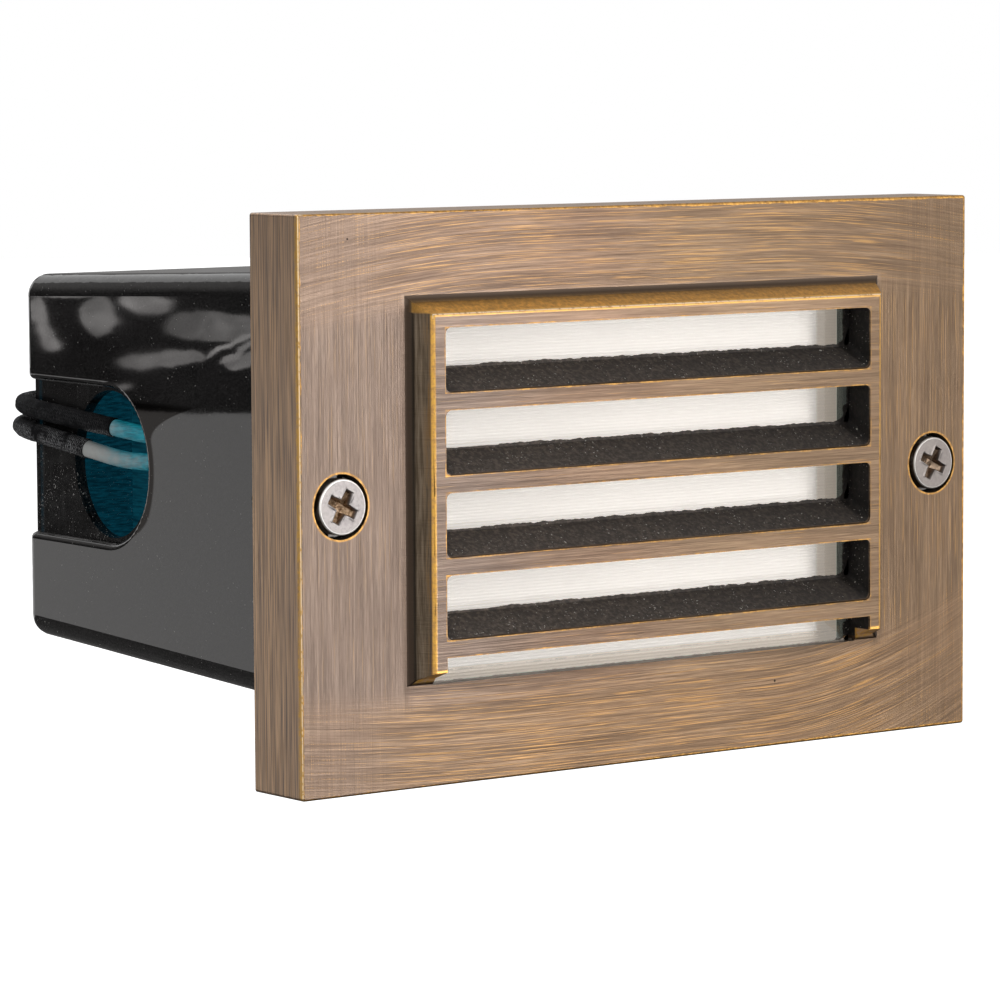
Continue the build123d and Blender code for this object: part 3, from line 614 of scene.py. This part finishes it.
def makeFlash(settings):
    # ragged ribbons: one above each louvre's rear edge, higher at the right where the opening's corner is round, one
    # up each opening's right wall, wide below its kink, and one on the sill
    pieces = []
    half, foot, bend, (least, most) = (settings[key] for key in ("halfWide", "foot", "round", "high"))
    marks = np.arange(-half, half + 0.01, settings["step"])
    for k in range(settings["gaps"]):
        rear = settings["firstRear"] - k * settings["pitch"]
        high = least + (most - least) * raggedness(marks, 11 + k)
        high *= np.where(marks < -half + 9 + 3 * (k % 2), 0.35, 1.0)
        turn = np.clip(marks - (half - bend - 0.3), 0, bend * 0.999)
        high = high + bend - np.sqrt(bend**2 - turn**2)
        pieces.append(strip(f"slatFlash_{k}", np.full(len(marks), rear - 0.25), rear + high, ("x", marks), settings))
    for k in range(settings["gaps"] + 1):
        top = settings["firstTop"] - k * settings["pitch"]
        low = foot if k == settings["gaps"] else settings["firstRear"] - k * settings["pitch"]
        rise = np.arange(low, top, settings["step"])
        wide = 0.14 + 0.3 * raggedness(rise, 31 + k, 1.6)
        wide += 0.65 * np.clip((low + (top - low) * settings["kinks"][k] - rise) / 0.3, 0, 1)
        pieces.append(strip(f"wallFlash_{k}", half - wide, np.full(len(rise), half + 0.1), ("z", rise), settings))
    high = 0.05 + 0.16 * raggedness(marks, 51) + 0.9 * np.clip((marks - half + 2.4) / 2.4, 0, 1) ** 2
    pieces.append(strip("footFlash", np.full(len(marks), foot - 0.2), foot + high, ("x", marks), settings))
    return pieces


flashPieces = makeFlash(flashSetup)
print("stage 4: screws, sheet and flash", len(screwPieces), len(flashPieces))


# materials of the pieces

# where the casting's surfaces lie, in millimetres
plateSize = dict(halfWide=57.15, halfHigh=37.5, front=-10.8)
hoodSize = dict(halfWide=38.45, top=24.35, foot=-22.2, front=-14.1, firstGap=22.55, gapHigh=8.45)
brassTones = dict(
    base=(0.150, 0.098, 0.066), pale=(0.215, 0.146, 0.098), dark=(0.062, 0.042, 0.030), even=(0.19, 0.128, 0.086),
    gold=(0.37, 0.21, 0.085), edge=(0.44, 0.235, 0.06), edgeDark=(0.22, 0.115, 0.035), glint=(0.95, 0.8, 0.6),
    side=(0.64, 0.43, 0.275), sideDark=(0.235, 0.18, 0.15), besideGold=(0.72, 0.41, 0.09),
    flank=(0.14, 0.104, 0.07), flankPale=(0.27, 0.21, 0.15), over=(0.86, 0.46, 0.11), overDark=(0.48, 0.27, 0.08),
    root=(0.022, 0.017, 0.013), paintedRootLight=(0.26, 0.2, 0.16), cast=(0.022, 0.017, 0.014), castPale=(0.055, 0.043, 0.034),
    gap=(0.02, 0.016, 0.012), sill=(0.24, 0.2, 0.165), dust=(0.5, 0.47, 0.42), pit=(0.02, 0.015, 0.012))
castPits = ((-49.5, 34.2, 0.16), (21.9, -28.5, 0.2))   # across, up and width of two pits in the plate's front


def agedBrass(tones, plate, hood):
    # brushed, patinated brass with worn golden edges, and rough cast metal between the louvres: upright strokes at the
    # plate's two ends, and above and below the hood strokes along arcs whose height falls with the square of the width
    r = Recipe("agedBrass", Metallic=1.0)
    acrossX, acrossZ = r.size(r.x), r.size(r.z)
    toRight, toTop = r.step(r.x, -12.0, 12.0), r.step(r.z, -8.0, 8.0)
    bow = r.blend(toTop, r.blend(toRight, 0.0012, 0.0064), r.blend(toRight, 0.0026, 0.0022))
    sag = r.most(r.minus(acrossX, 20.0), 0.0)
    arc = r.plus(acrossZ, r.times(sag, sag, bow))
    onHood = r.step(r.y, -10.95, -11.2)
    offHood = r.flip(onHood)
    onSide, onEnd = r.step(acrossX, 56.95, 57.05), r.step(acrossZ, 37.3, 37.4)
    band = r.times(r.step(arc, 24.0, 29.0), r.blend(r.step(acrossX, 40.0, 50.0), 1.0, 0.62))
    flowing = r.most(band, r.flip(r.step(acrossX, 39.0, 42.0)))

    # long strokes of the brush: along the arcs, upright at the plate's two ends, level on the hood
    where = {
        "arcs": lambda fine, far: r.join(r.times(r.x, far), r.times(arc, fine), 0.0),
        "upright": lambda fine, far: r.join(r.times(r.x, fine), 7.0, r.times(r.z, far)),
        "hood": lambda fine, far: r.join(r.times(r.x, far), 3.0, r.times(r.z, fine)),
        "side": lambda fine, far: r.join(11.0, r.times(r.y, fine), r.times(r.z, far)),
        "end": lambda fine, far: r.join(r.times(r.x, far), r.times(r.y, fine), 5.0),
    }

    def strokes(fine, far, detail, rough):
        made = {key: r.noise(1.0, detail, rough, at=place(fine, far)) for key, place in where.items()}
        flat = r.blend(flowing, made["upright"], made["arcs"])
        flat = r.blend(onHood, flat, made["hood"])
        return r.blend(onEnd, r.blend(onSide, flat, made["side"]), made["end"])

    grain = strokes(3.8, 0.06, 3.0, 0.66)
    scratch = strokes(6.2, 0.07, 2.0, 0.6)
    broad = strokes(0.7, 0.03, 3.0, 0.6)
    blotch = r.noise(0.055, 3.0, 0.6)
    fleck = r.noise(1.6, 3.0, 0.6)

    warm = r.times(r.most(band, r.times(toRight, 0.45)), offHood)
    gilt = r.plus(r.blend(warm, 0.59, 0.545), r.times(onHood, 0.03))
    upright = r.times(r.flip(flowing), offHood)
    colour = r.layers(
        r.sift(grain, 0.38, 0.62, tones["base"], tones["pale"]),
        (r.times(r.step(broad, 0.62, 0.36), 0.45), tones["dark"]),
        (r.times(r.step(scratch, gilt, r.plus(gilt, 0.07)), r.blend(warm, 0.6, 0.75)), tones["gold"]),
        (r.times(r.step(scratch, 0.39, 0.31), 0.6), tones["dark"]),
        (r.times(r.step(blotch, 0.45, 0.7), 0.3), tones["base"]),
        (r.times(upright, r.blend(toRight, 0.38, 0.15)), tones["even"]))
    # painted light and shade: lighter from the left end towards the middle and towards the bottom, dimmer on the
    # upright bands and the hood, and a lighter strip along the top of the hood's front
    level = r.blend(onHood, r.blend(toRight, 0.82, 0.74), r.blend(toRight, 0.86, 0.92))
    shade = r.times(r.span(r.x, -57.0, 0.0, 1.07, 1.2), r.span(r.x, 0.0, 57.0, 1.0, 0.97),
                    r.span(r.z, 35.0, -35.0, 0.79, 0.945), r.blend(r.most(upright, onHood), 1.0, level),
                    r.blend(r.times(onHood, r.step(r.z, 22.4, 22.8)), 1.0, 1.32))
    colour = r.dim(colour, shade)
    cool = r.times(r.step(r.x, -10.0, -44.0), r.blend(band, 1.0, 0.35), r.blend(onHood, 1.0, 1.4))
    tint = r.mix(r.times(band, r.flip(toTop)), r.mix(toRight, (1.0, 0.99, 1.02), (1.0, 1.0, 0.95)), (1.0, 0.96, 0.87))
    colour = r.add("ShaderNodeVectorMath", {0: colour, 1: r.mix(cool, tint, (0.94, 1.04, 1.24))},
                   operation="MULTIPLY").outputs[0]
    sideTone = r.layers(
        r.sift(grain, 0.34, 0.6, tones["sideDark"], tones["side"]),
        (r.times(r.step(broad, 0.56, 0.4), 0.35), tones["sideDark"]),
        (r.times(r.step(scratch, 0.6, 0.68), 0.6), tones["edgeDark"]))
    # painted shade on the plate's edge faces: the right side face darker, the top and bottom faces darker still
    sideTone = r.dim(sideTone, r.blend(onEnd, r.blend(toRight, 1.0, 0.7), 0.6))
    colour = r.dim(colour, r.span(strokes(15.0, 0.3, 2.0, 0.6), 0.32, 0.68, 0.82, 1.18))
    colour = r.mix(r.most(onSide, onEnd), colour, sideTone)

    # the hood's leaning sides are darker as painted shade, with a painted highlight on the top flare and a painted
    # shadow at their root; rough near the plate
    inSide, inFoot = r.minus(hood["halfWide"], acrossX), r.minus(r.z, hood["foot"])
    hoodIn = r.least(inSide, r.minus(hood["top"], r.z), inFoot)
    flank = r.steps((hoodIn, 0.1, -0.15), (r.y, -10.85, -11.0))
    streaks = r.noise((2.2, 3.0, 0.16), 3.0, 0.65)
    # painted highlight: the top flare brighter and more golden, fading to the right and towards the plate
    over = r.times(r.step(r.z, 24.3, 24.6), r.span(r.x, -38.0, 10.0, 0.95, 0.7))
    overTone = r.sift(fleck, 0.25, 0.75, tones["overDark"], tones["over"])
    # painted shadow at the sides' root against the plate
    paintedRootShadow = r.step(r.minus(r.y, r.times(over, 0.35)), -11.85, -11.4)
    under = r.steps((r.minus(inSide, inFoot), 0.0, 0.3), (r.z, -22.15, -22.3), (r.y, -10.85, -11.0))
    flecked, patched = r.step(fleck, 0.35, 0.65), r.step(fleck, 0.35, 0.6)
    flankTone = r.layers(
        r.sift(streaks, 0.38, 0.64, tones["flank"], tones["flankPale"]),
        (r.times(r.steps((r.y, -12.2, -13.7), (streaks, 0.46, 0.62)), 0.8), tones["edgeDark"]),
        (over, r.dim(overTone, r.span(r.y, -11.3, -12.9, 0.5, 1.0))),
        (r.times(paintedRootShadow, 0.92), tones["root"]),
        (under, r.mix(flecked, tones["side"], tones["besideGold"])))
    # painted shade on the root's spread face and beside the hood's sides, and a painted pale band of light along the
    # root above the hood
    spread = r.steps((hoodIn, -1.3, -1.5), (r.y, -10.79, -10.83))
    root = r.times(r.steps((hoodIn, -1.35, -1.75), (hoodIn, -3.1, -2.2)), offHood)
    colour = r.layers(
        colour, (flank, flankTone), (r.times(spread, 0.7), tones["dark"]),
        (r.times(root, r.step(r.z, 25.0, 26.0), 0.2), tones["paintedRootLight"]),
        (r.times(root, r.step(r.z, 25.5, 24.5), 0.45), tones["dark"]))

    # distance in from the plate's outline and back from its front give the worn edge
    inPlate = r.least(r.minus(plate["halfWide"], acrossX), r.minus(plate["halfHigh"], acrossZ))
    back = r.size(r.minus(r.y, plate["front"]))
    ragged = r.span(r.noise(0.45, 3.0, 0.7), 0.3, 0.7, 0.08, 0.3)
    wider = r.plus(ragged, r.times(toRight, 0.16))
    plateEdge = r.times(r.step(r.most(inPlate, back), r.plus(wider, 0.1), wider), offHood)
    besideEdge = r.times(r.step(back, r.plus(r.times(ragged, 1.4), 0.75), r.plus(ragged, 0.35)), onSide)
    besideEdge = r.times(besideEdge, r.blend(patched, 0.4, 0.9))
    hoodBack = r.minus(r.y, hood["front"])
    hoodEdge = r.steps((r.size(r.plus(hoodIn, 0.02)), 0.5, 0.2), (hoodBack, 0.5, 0.25), (acrossZ, 24.9, 24.6))
    hoodEdge = r.times(hoodEdge, r.blend(patched, 0.55, 1.0), r.blend(r.step(r.z, 24.0, 24.3), 1.0, 0.45))
    row = r.calc("FLOORED_MODULO", r.minus(hood["firstGap"], r.z), flashSetup["pitch"])
    pastGap, toNext = r.minus(row, hood["gapHigh"]), r.minus(flashSetup["pitch"], row)
    gapEdge = r.least(r.size(row), r.size(pastGap), toNext)
    beside = r.most(r.minus(acrossX, flashSetup["halfWide"]), r.least(pastGap, toNext))
    gapEdge = r.blend(r.step(acrossX, 36.4, 36.5), gapEdge, beside)
    front = r.steps((r.y, -13.95, -14.05), (r.z, 23.2, 23.0))
    patchy = r.blend(r.step(r.noise(0.28, 3.0, 0.7), 0.4, 0.58), 0.3, 1.0)
    gapEdge = r.times(r.step(gapEdge, ragged, r.times(ragged, 0.35)), front, patchy)
    bore = r.reach(r.minus(acrossX, screwSetup["across"]), r.z)
    ring = r.steps((bore, 4.58, 4.38), (bore, 4.1, 4.2), (r.y, -10.3, -10.4))
    gold = r.most(plateEdge, r.times(r.most(gapEdge, ring), 0.8))
    # painted highlights along the hood's top front edge and along the plate's front edge at its left end
    glint = r.steps((r.size(hoodIn), 0.16, 0.05), (hoodBack, 0.2, 0.08), (r.z, 23.6, 24.0))
    glint = r.most(glint, r.steps((inPlate, 0.2, 0.08), (back, 0.2, 0.08), (r.x, -56.0, -56.8)))
    colour = r.layers(
        colour, (hoodEdge, r.mix(flecked, tones["over"], tones["besideGold"])),
        (gold, r.mix(flecked, tones["edge"], tones["edgeDark"])), (besideEdge, tones["besideGold"]),
        (r.times(glint, r.step(fleck, 0.3, 0.5), 0.8), tones["glint"]))

    # two casting pits in the plate's front
    for pitX, pitZ, wide in castPits:
        away = r.plus(r.size(r.minus(r.x, pitX)), r.size(r.minus(r.z, pitZ)))
        pitted = r.steps((away, wide * 1.5, wide * 0.7), (r.y, -10.6, -10.7))
        colour = r.mix(pitted, colour, tones["pit"])

    inBore = r.steps((bore, 4.3, 4.2), (r.y, -10.7, -10.6))
    slope = r.minus(r.z, r.times(hoodBack, 0.644))    # level along the louvres
    cast = r.steps((acrossX, 37.0, 36.8), (r.y, -13.85, -13.7), (slope, 23.3, 23.1), (r.z, -23.6, -23.3))
    inside = r.step(r.y, -9.5, -9.2)
    crude = r.most(r.times(cast, r.flip(under)), inBore, r.times(inside, r.flip(r.most(onSide, onEnd))))
    speck = r.steps((r.noise(3.1), 0.66, 0.71), (r.noise(0.3), 0.42, 0.6))
    castTone = r.sift(fleck, 0.4, 0.7, tones["cast"], tones["castPale"])
    # painted shade on the rough cast metal: lighter towards the left, darker to the right, and going black from 33 to
    # 38.5 mm out from the middle, at the openings' end walls and beyond, in the bores
    castTone = r.dim(castTone, r.times(r.span(r.x, -36.0, 30.0, 2.1, 1.0), r.step(acrossX, 38.5, 33.0)))
    # the sill: near black towards its front, paler behind
    sill = r.steps((r.z, -23.7, -23.9), (acrossX, 37.2, 37.0), (r.y, -10.75, -10.6))
    colour = r.layers(colour, (crude, r.mix(speck, castTone, tones["dust"])),
                      (sill, r.sift(r.y, -10.35, -10.2, tones["gap"], tones["sill"])))
    r.set(Base_Color=colour, Metallic=r.flip(r.most(r.times(crude, 0.75), sill)))
    smooth = r.span(grain, 0.3, 0.7, 0.42, 0.33)
    r.set(Roughness=r.blend(r.most(crude, r.times(flank, 0.5)), smooth, 0.72))
    height = r.plus(r.times(grain, r.flip(crude)), r.times(fleck, crude, 3.0))
    r.relief(r.plus(height, r.times(scratch, 0.5)), 0.035)
    return r


def clearPane():
    # float glass: clear faces, ground edges tinted a dim green and given a painted dim green glow, brighter towards the
    # back
    r = Recipe("clearPane", **{"IOR": 1.5, "Transmission Weight": 1.0, "Emission Strength": 1.0})
    atEdge = r.most(r.step(r.size(r.x), 36.7, 36.78), r.step(r.size(r.minus(r.z, 0.771)), 25.1, 25.2))
    ground = r.noise(5.0)
    depth = r.step(r.y, -9.3, -4.5)
    # the ground edges' emission is a painted glow
    r.set(Base_Color=r.mix(atEdge, (1.0, 0.985, 0.97), (0.35, 0.5, 0.42)),
          Emission_Color=r.dim(r.mix(depth, (0.05, 0.06, 0.055), (0.19, 0.2, 0.17)), atEdge),
          Roughness=r.blend(atEdge, 0.01, r.span(ground, 0.3, 0.7, 0.3, 0.6)))
    clear = r.add("ShaderNodeBsdfTransparent", {0: (1.0, 0.985, 0.965, 1.0)})
    rays = r.add("ShaderNodeLightPath").outputs
    passes = r.most(rays["Is Shadow Ray"], rays["Is Diffuse Ray"])
    both = r.add("ShaderNodeMixShader", {0: passes, 1: r.shader.outputs[0], 2: clear.outputs[0]})
    r.put(r.end.inputs["Surface"], both.outputs[0])
    return r


def whiteSheet(ribPitch):
    # warm white with a faint painted glow, each rib's valley a little greyer as painted shade, faint upright threads,
    # one broken dark line near its foot, and painted shadow beside its right edge and along its foot
    r = Recipe("whiteSheet", **{"Roughness": 0.5, "Emission Strength": 1.0})
    cloud = r.noise(0.12, 3.0)
    thread = r.noise((1.6, 0.4, 0.12), 3.0, 0.7)
    valley = r.calc("COSINE", r.times(r.z, math.tau / ribPitch))
    streak = r.noise((0.04, 0.05, 2.2), 3.0, 0.7)
    tone = r.mix(cloud, (0.86, 0.85, 0.84), (0.9, 0.89, 0.88))
    # painted shade in each rib's valley
    tone = r.dim(tone, r.plus(r.span(valley, -1.0, 1.0, 1.0, 0.86), r.span(thread, 0.3, 0.7, -0.02, 0.02)))
    tone = r.dim(tone, r.span(streak, 0.3, 0.7, 0.97, 1.01))
    # a broken dark line across the sheet near its foot
    mark = r.steps((r.size(r.plus(r.z, 23.05)), 0.12, 0.05), (r.noise(0.5, 3.0, 0.7), 0.4, 0.55))
    # painted shadow of the right wall along the sheet's right edge, and painted shade along its foot
    paintedShadow = r.most(r.step(r.x, 32.7, 33.5), r.step(r.z, -22.6, -22.95))
    tone = r.mix(paintedShadow, tone, (0.68, 0.62, 0.55))
    r.set(Base_Color=r.mix(r.times(mark, 0.7), tone, (0.25, 0.24, 0.22)))
    # a faint painted glow, brighter from the left end towards the middle, weaker in the painted shadow and in the ribs'
    # valleys
    glow = r.dim(r.mix(paintedShadow, (1.0, 0.94, 0.87), (0.72, 0.64, 0.55)), r.span(r.x, -36.0, 4.0, 0.28, 0.4))
    r.set(Emission_Color=r.dim(glow, r.span(valley, -1.0, 1.0, 1.0, 0.9)))
    return r


def plain(name, darker, lighter, rough, grainScale=1.5, depth=0.02, metal=0.0, **more):
    # a finish with two close tones in fine grain, and a little unevenness in its gloss
    r = Recipe(name, Metallic=metal, **more)
    grain = r.noise(grainScale, 4.0, 0.6)
    cloud = r.noise(grainScale * 0.12, 2.0)
    tone = r.calc("MULTIPLY_ADD", grain, 0.6, r.times(cloud, 0.4))
    r.set(Base_Color=r.sift(tone, 0.35, 0.65, darker, lighter), Roughness=r.span(cloud, 0.3, 0.7, *rough))
    r.relief(grain, depth)
    return r


# where the housing's sides, pockets and open knock-out lie, and how far the painted dark reflection reaches, in
# millimetres
boxSize = dict(halfWide=43.0, pocketHalf=11.3, pocketFront=50.0, holeMiddle=62.0, darkReflectionReach=14.3)


def glossBlack(box):
    # moulded black plastic: mirror gloss, dust and fine scuffs; the pocket's floor leans and is duller
    r = Recipe("glossBlack", **{"IOR": 1.5, "Specular Tint": (1.0, 0.955, 0.93, 1.0)})
    wave = r.noise(0.05, 2.0, 0.4)
    half, front, reach = box["pocketHalf"], box["pocketFront"], box["darkReflectionReach"]
    outer = r.size(r.plus(r.x, r.blend(r.step(r.x, -1.0, 1.0), box["halfWide"], -box["halfWide"])))
    pocket = r.steps((r.size(r.z), half, half - 0.3), (r.y, front, front + 1.5), (outer, 2.6, 3.0))
    crowd = r.noise(0.22)
    many = r.times(pocket, r.step(r.z, 4.0, -6.0))
    limit = r.plus(r.blend(many, 0.725, 0.655), r.times(r.minus(0.55, crowd), 0.25))
    dust = r.step(r.noise(3.2), limit, r.plus(limit, 0.03))
    smear = r.step(r.noise((0.8, 0.9, 0.1), 3.0, 0.6), 0.5, 0.72)
    scuff = r.noise((0.8, 0.2, 0.5), 3.0, 0.6)
    gloss = r.blend(pocket, r.span(wave, 0.3, 0.7, 0.012, 0.028), r.span(scuff, 0.3, 0.7, 0.1, 0.26))
    # a painted dark reflection before the knock-out: a black mirror patch laid out by its distance from the hole's
    # middle line, bent in above and out below
    darkReflection = r.reach(r.most(r.minus(box["holeMiddle"], r.y), 0.0), r.z)
    above, below = r.most(r.minus(r.z, 4.0), 0.0), r.most(r.minus(-6.0, r.z), 0.0)
    darkReflection = r.plus(darkReflection, r.times(above, above, -0.42), r.times(below, below, 0.12))
    darkReflection = r.steps((darkReflection, reach, reach - 0.6), (r.y, 64.0, 57.0), (outer, 2.6, 2.2), (r.x, 1.0, -1.0), (r.z, 10.0, 9.0))
    darkReflection = r.times(darkReflection, r.flip(pocket))
    black = r.layers(
        r.sift(r.noise(3.4, 2.0, 0.7), 0.38, 0.66, (0.002,) * 3, (0.022, 0.021, 0.021)),
        # the painted dark reflection goes in as near-black
        (r.times(smear, pocket), (0.035, 0.034, 0.034)), (darkReflection, (0.001,) * 3), (dust, (0.4, 0.39, 0.37)))
    r.set(Base_Color=black, Metallic=r.times(darkReflection, 0.97), Roughness=r.plus(gloss, r.times(dust, 0.5)))
    fine = r.times(r.noise(2.0, 3.0), r.blend(pocket, 0.004, 0.5))
    r.relief(r.plus(r.times(wave, 0.35), r.times(r.z, pocket, -4.5), fine), 0.03)
    # a painted teal glow on the inside of the rear wall, seen through the knock-out; the wall itself stays black
    weave = r.noise((0.5, 0.22, 3.6), 3.0, 0.65)
    film = r.steps((r.y, 82.4, 82.8), (r.y, 83.6, 83.3), (r.size(r.x), 38.0, 37.6))
    glow = r.sift(weave, 0.32, 0.72, (0.0003, 0.010, 0.017), (0.0014, 0.033, 0.052))
    r.set(Emission_Strength=1.0, Emission_Color=r.dim(glow, film))
    return r


def sleeveWeave(strands):
    # braided sleeve: worn grey strands over black, along the tube's own weave map
    r = Recipe("sleeveWeave", **{"Roughness": 0.85, "Specular IOR Level": 0.12})
    uv = r.add("ShaderNodeUVMap", uv_map="weave")
    around, along = r.add("ShaderNodeSeparateXYZ", {0: uv.outputs[0]}).outputs[:2]
    turned = r.times(along, 0.385)
    strand = r.most(*(r.calc("SINE", r.times(way, strands * math.tau))
                      for way in (r.plus(around, turned), r.minus(around, turned))))
    fuzz = r.noise(4.0, 4.0, 0.7)
    fade = r.steps((strand, 0.1, 1.0), (fuzz, 0.35, 0.7))
    worn = r.noise(0.35)
    # fewer grey strands on the upper lead's run before the coil, so it reads darker
    upperLeadDarker = r.times(r.step(r.z, 4.4, 5.0), r.step(r.y, 86.0, 84.0), 0.85)
    fade = r.times(fade, r.step(worn, 0.3, 0.52), r.flip(upperLeadDarker))
    r.set(Base_Color=r.mix(fade, (0.005, 0.005, 0.006), (0.42, 0.42, 0.43)))
    r.relief(r.plus(strand, fuzz), 0.06)
    return r


def tealTray():
    # aluminium tray: bright inside, a deep teal film outside with a faint painted glow, stronger lower down
    r = Recipe("tealTray", **{"Roughness": 0.35, "Emission Strength": 1.0})
    facing = r.add("ShaderNodeSeparateXYZ", {0: r.add("ShaderNodeTexCoord").outputs["Normal"]}).outputs
    outward = r.plus(r.times(r.x, facing[0]), r.times(r.z, facing[2]))
    outside = r.step(r.plus(outward, r.times(facing[1], 30.0)), -2.0, 2.0)
    weave = r.noise((0.5, 0.22, 3.6), 3.0, 0.65)
    pick = r.noise(1.4, 3.0, 0.6)
    film = r.sift(weave, 0.3, 0.72, (0.002, 0.045, 0.075), (0.012, 0.16, 0.22))
    bare = r.mix(pick, (0.72, 0.72, 0.73), (0.85, 0.85, 0.86))
    # painted glow: emission on the film, not lamp light
    glow = r.sift(weave, 0.32, 0.72, (0.0002, 0.007, 0.012), (0.001, 0.024, 0.038))
    glow = r.dim(glow, r.times(r.span(r.z, -12.0, 9.0, 1.0, 0.8), outside))
    r.set(Base_Color=r.mix(outside, bare, film), Metallic=r.flip(outside), Emission_Color=glow)
    r.relief(weave, 0.05)
    return r


def innerWire():
    # white insulation with painted teal light further inside: a teal colour and a faint painted glow
    r = Recipe("innerWire", **{"Roughness": 0.5, "Emission Strength": 1.0})
    shift = r.plus(r.times(r.minus(r.noise(0.8, 3.0, 0.6), 0.5), 2.0), r.times(r.step(r.z, 4.2, 3.4), -1.1))
    deep = r.step(r.plus(r.x, shift), -40.2, -37.2)
    lines = r.noise((0.3, 0.6, 4.5), 2.0, 0.6)
    grain = r.noise(1.6, 3.0)
    white = r.mix(grain, (0.4, 0.41, 0.4), (0.57, 0.58, 0.56))
    # painted teal light on the white insulation
    tealLight = r.sift(lines, 0.35, 0.65, (0.004, 0.13, 0.18), (0.014, 0.23, 0.3))
    glow = r.sift(lines, 0.35, 0.65, (0.0, 0.05, 0.065), (0.004, 0.1, 0.125))
    r.set(Base_Color=r.mix(deep, white, tealLight), Emission_Color=r.dim(glow, deep))
    r.relief(r.plus(grain, lines), 0.03)
    return r


def nickelHead(settings):
    # nickel plate: bright rim, worn flat, brown grime deep in the cross and on the thread
    r = Recipe("nickelHead", Metallic=1.0)
    reach = r.reach(r.minus(r.size(r.x), settings["across"]), r.z)
    grain = r.noise(2.2, 4.0, 0.65)
    cloud = r.noise(0.5, 3.0, 0.6)
    tone = r.layers(
        r.sift(grain, 0.35, 0.65, (0.205, 0.187, 0.182), (0.265, 0.243, 0.236)),
        (r.times(r.step(cloud, 0.5, 0.68), 0.6), (0.31, 0.285, 0.27)),
        (r.steps((reach, 3.35, 3.5), (r.y, -10.9, -11.1)), (0.8, 0.78, 0.74)),
        (r.steps((r.y, -11.1, -10.5), (reach, 2.6, 2.4)),
         r.sift(grain, 0.35, 0.65, (0.16, 0.10, 0.055), (0.42, 0.29, 0.19))),
        # the right-hand screw made darker all over
        (r.times(r.step(r.x, -1.0, 1.0), 0.5), (0.12, 0.1, 0.085)),
        (r.steps((reach, 3.6, 3.63), (r.y, -11.0, -10.85)),
         r.sift(cloud, 0.45, 0.6, (0.22, 0.165, 0.115), (0.5, 0.45, 0.4))))
    r.set(Base_Color=tone, Roughness=r.span(cloud, 0.3, 0.7, 0.4, 0.5))
    r.relief(grain, 0.02)
    return r


finishes = [
    (agedBrass(brassTones, plateSize, hoodSize), ["faceplate"] + [piece.name for piece in flashPieces]),
    (clearPane(), ["lens_pane"]),
    (whiteSheet(sheetSetup["pitch"]), ["diffuser_sheet", "ribbedSheet"]),
    (plain("blackSilicone", (0.006,) * 3, (0.018,) * 3, (0.35, 0.6), 0.8, 0.08), ["lens_sealant"]),
    (plain("closedCellFoam", (0.008,) * 3, (0.022, 0.022, 0.023), (0.8, 0.95), 2.5, 0.12), ["plate_gasket"]),
    (glossBlack(boxSize), ["housing"]),
    (tealTray(), ["reflector"]),
    (plain("heatproofPlastic", (0.6, 0.56, 0.46), (0.74, 0.7, 0.6), (0.45, 0.6), 1.2, 0.02), ["lampholder"]),
    (plain("springStrip", (0.42,) * 3, (0.6,) * 3, (0.25, 0.4), 1.4, 0.01, 1.0), ["holder_clip"]),
    (plain("stampedBrass", (0.6, 0.42, 0.16), (0.78, 0.56, 0.24), (0.25, 0.4), 1.4, 0.01, 1.0), ["holder_contacts"]),
    (plain("lampGlass", (0.93, 0.94, 0.94), (0.98,) * 3, (0.01, 0.04), 0.3, 0.01,
           **{"Transmission Weight": 1.0, "IOR": 1.5}), ["lamp_envelope"]),
    (plain("drawnWire", (0.3, 0.3, 0.31), (0.5,) * 3, (0.25, 0.4), 4.0, 0.01, 1.0), ["lamp_filament"]),
    (plain("blackNylon", (0.01,) * 3, (0.022,) * 3, (0.35, 0.5), 1.5, 0.02), ["coil_tie"]),
    (nickelHead(screwSetup), [piece.name for piece in screwPieces]),
    (plain("darkenedSteel", (0.03, 0.028, 0.026), (0.2, 0.19, 0.18), (0.35, 0.5), 0.9, 0.03, 1.0),
     ["washer_left", "washer_right"]),
    (plain("nickelPlate", (0.55, 0.5, 0.44), (0.72, 0.68, 0.6), (0.22, 0.36), 1.6, 0.015, 1.0), ["reflector_screws"]),
    (plain("turnedBrass", (0.5, 0.34, 0.13), (0.74, 0.52, 0.22), (0.25, 0.4), 2.0, 0.03, 1.0),
     ["insert_left", "insert_right"]),
    (innerWire(), ["wire_upper", "wire_lower"]),
    (sleeveWeave(leadSetup["strands"]), [tube.name for tube, tip in leadPieces]),
    (plain("tinnedCopper", (0.42, 0.36, 0.3), (0.68, 0.64, 0.6), (0.25, 0.4), 3.0, 0.03, 1.0),
     [tip.name for tube, tip in leadPieces]),
]
for recipe, names in finishes:
    for name in names:
        piece = cad[name] if name in cad else bpy.data.objects[name]
        piece.data.materials.clear()
        piece.data.materials.append(recipe.mat)
print("stage 5: materials")
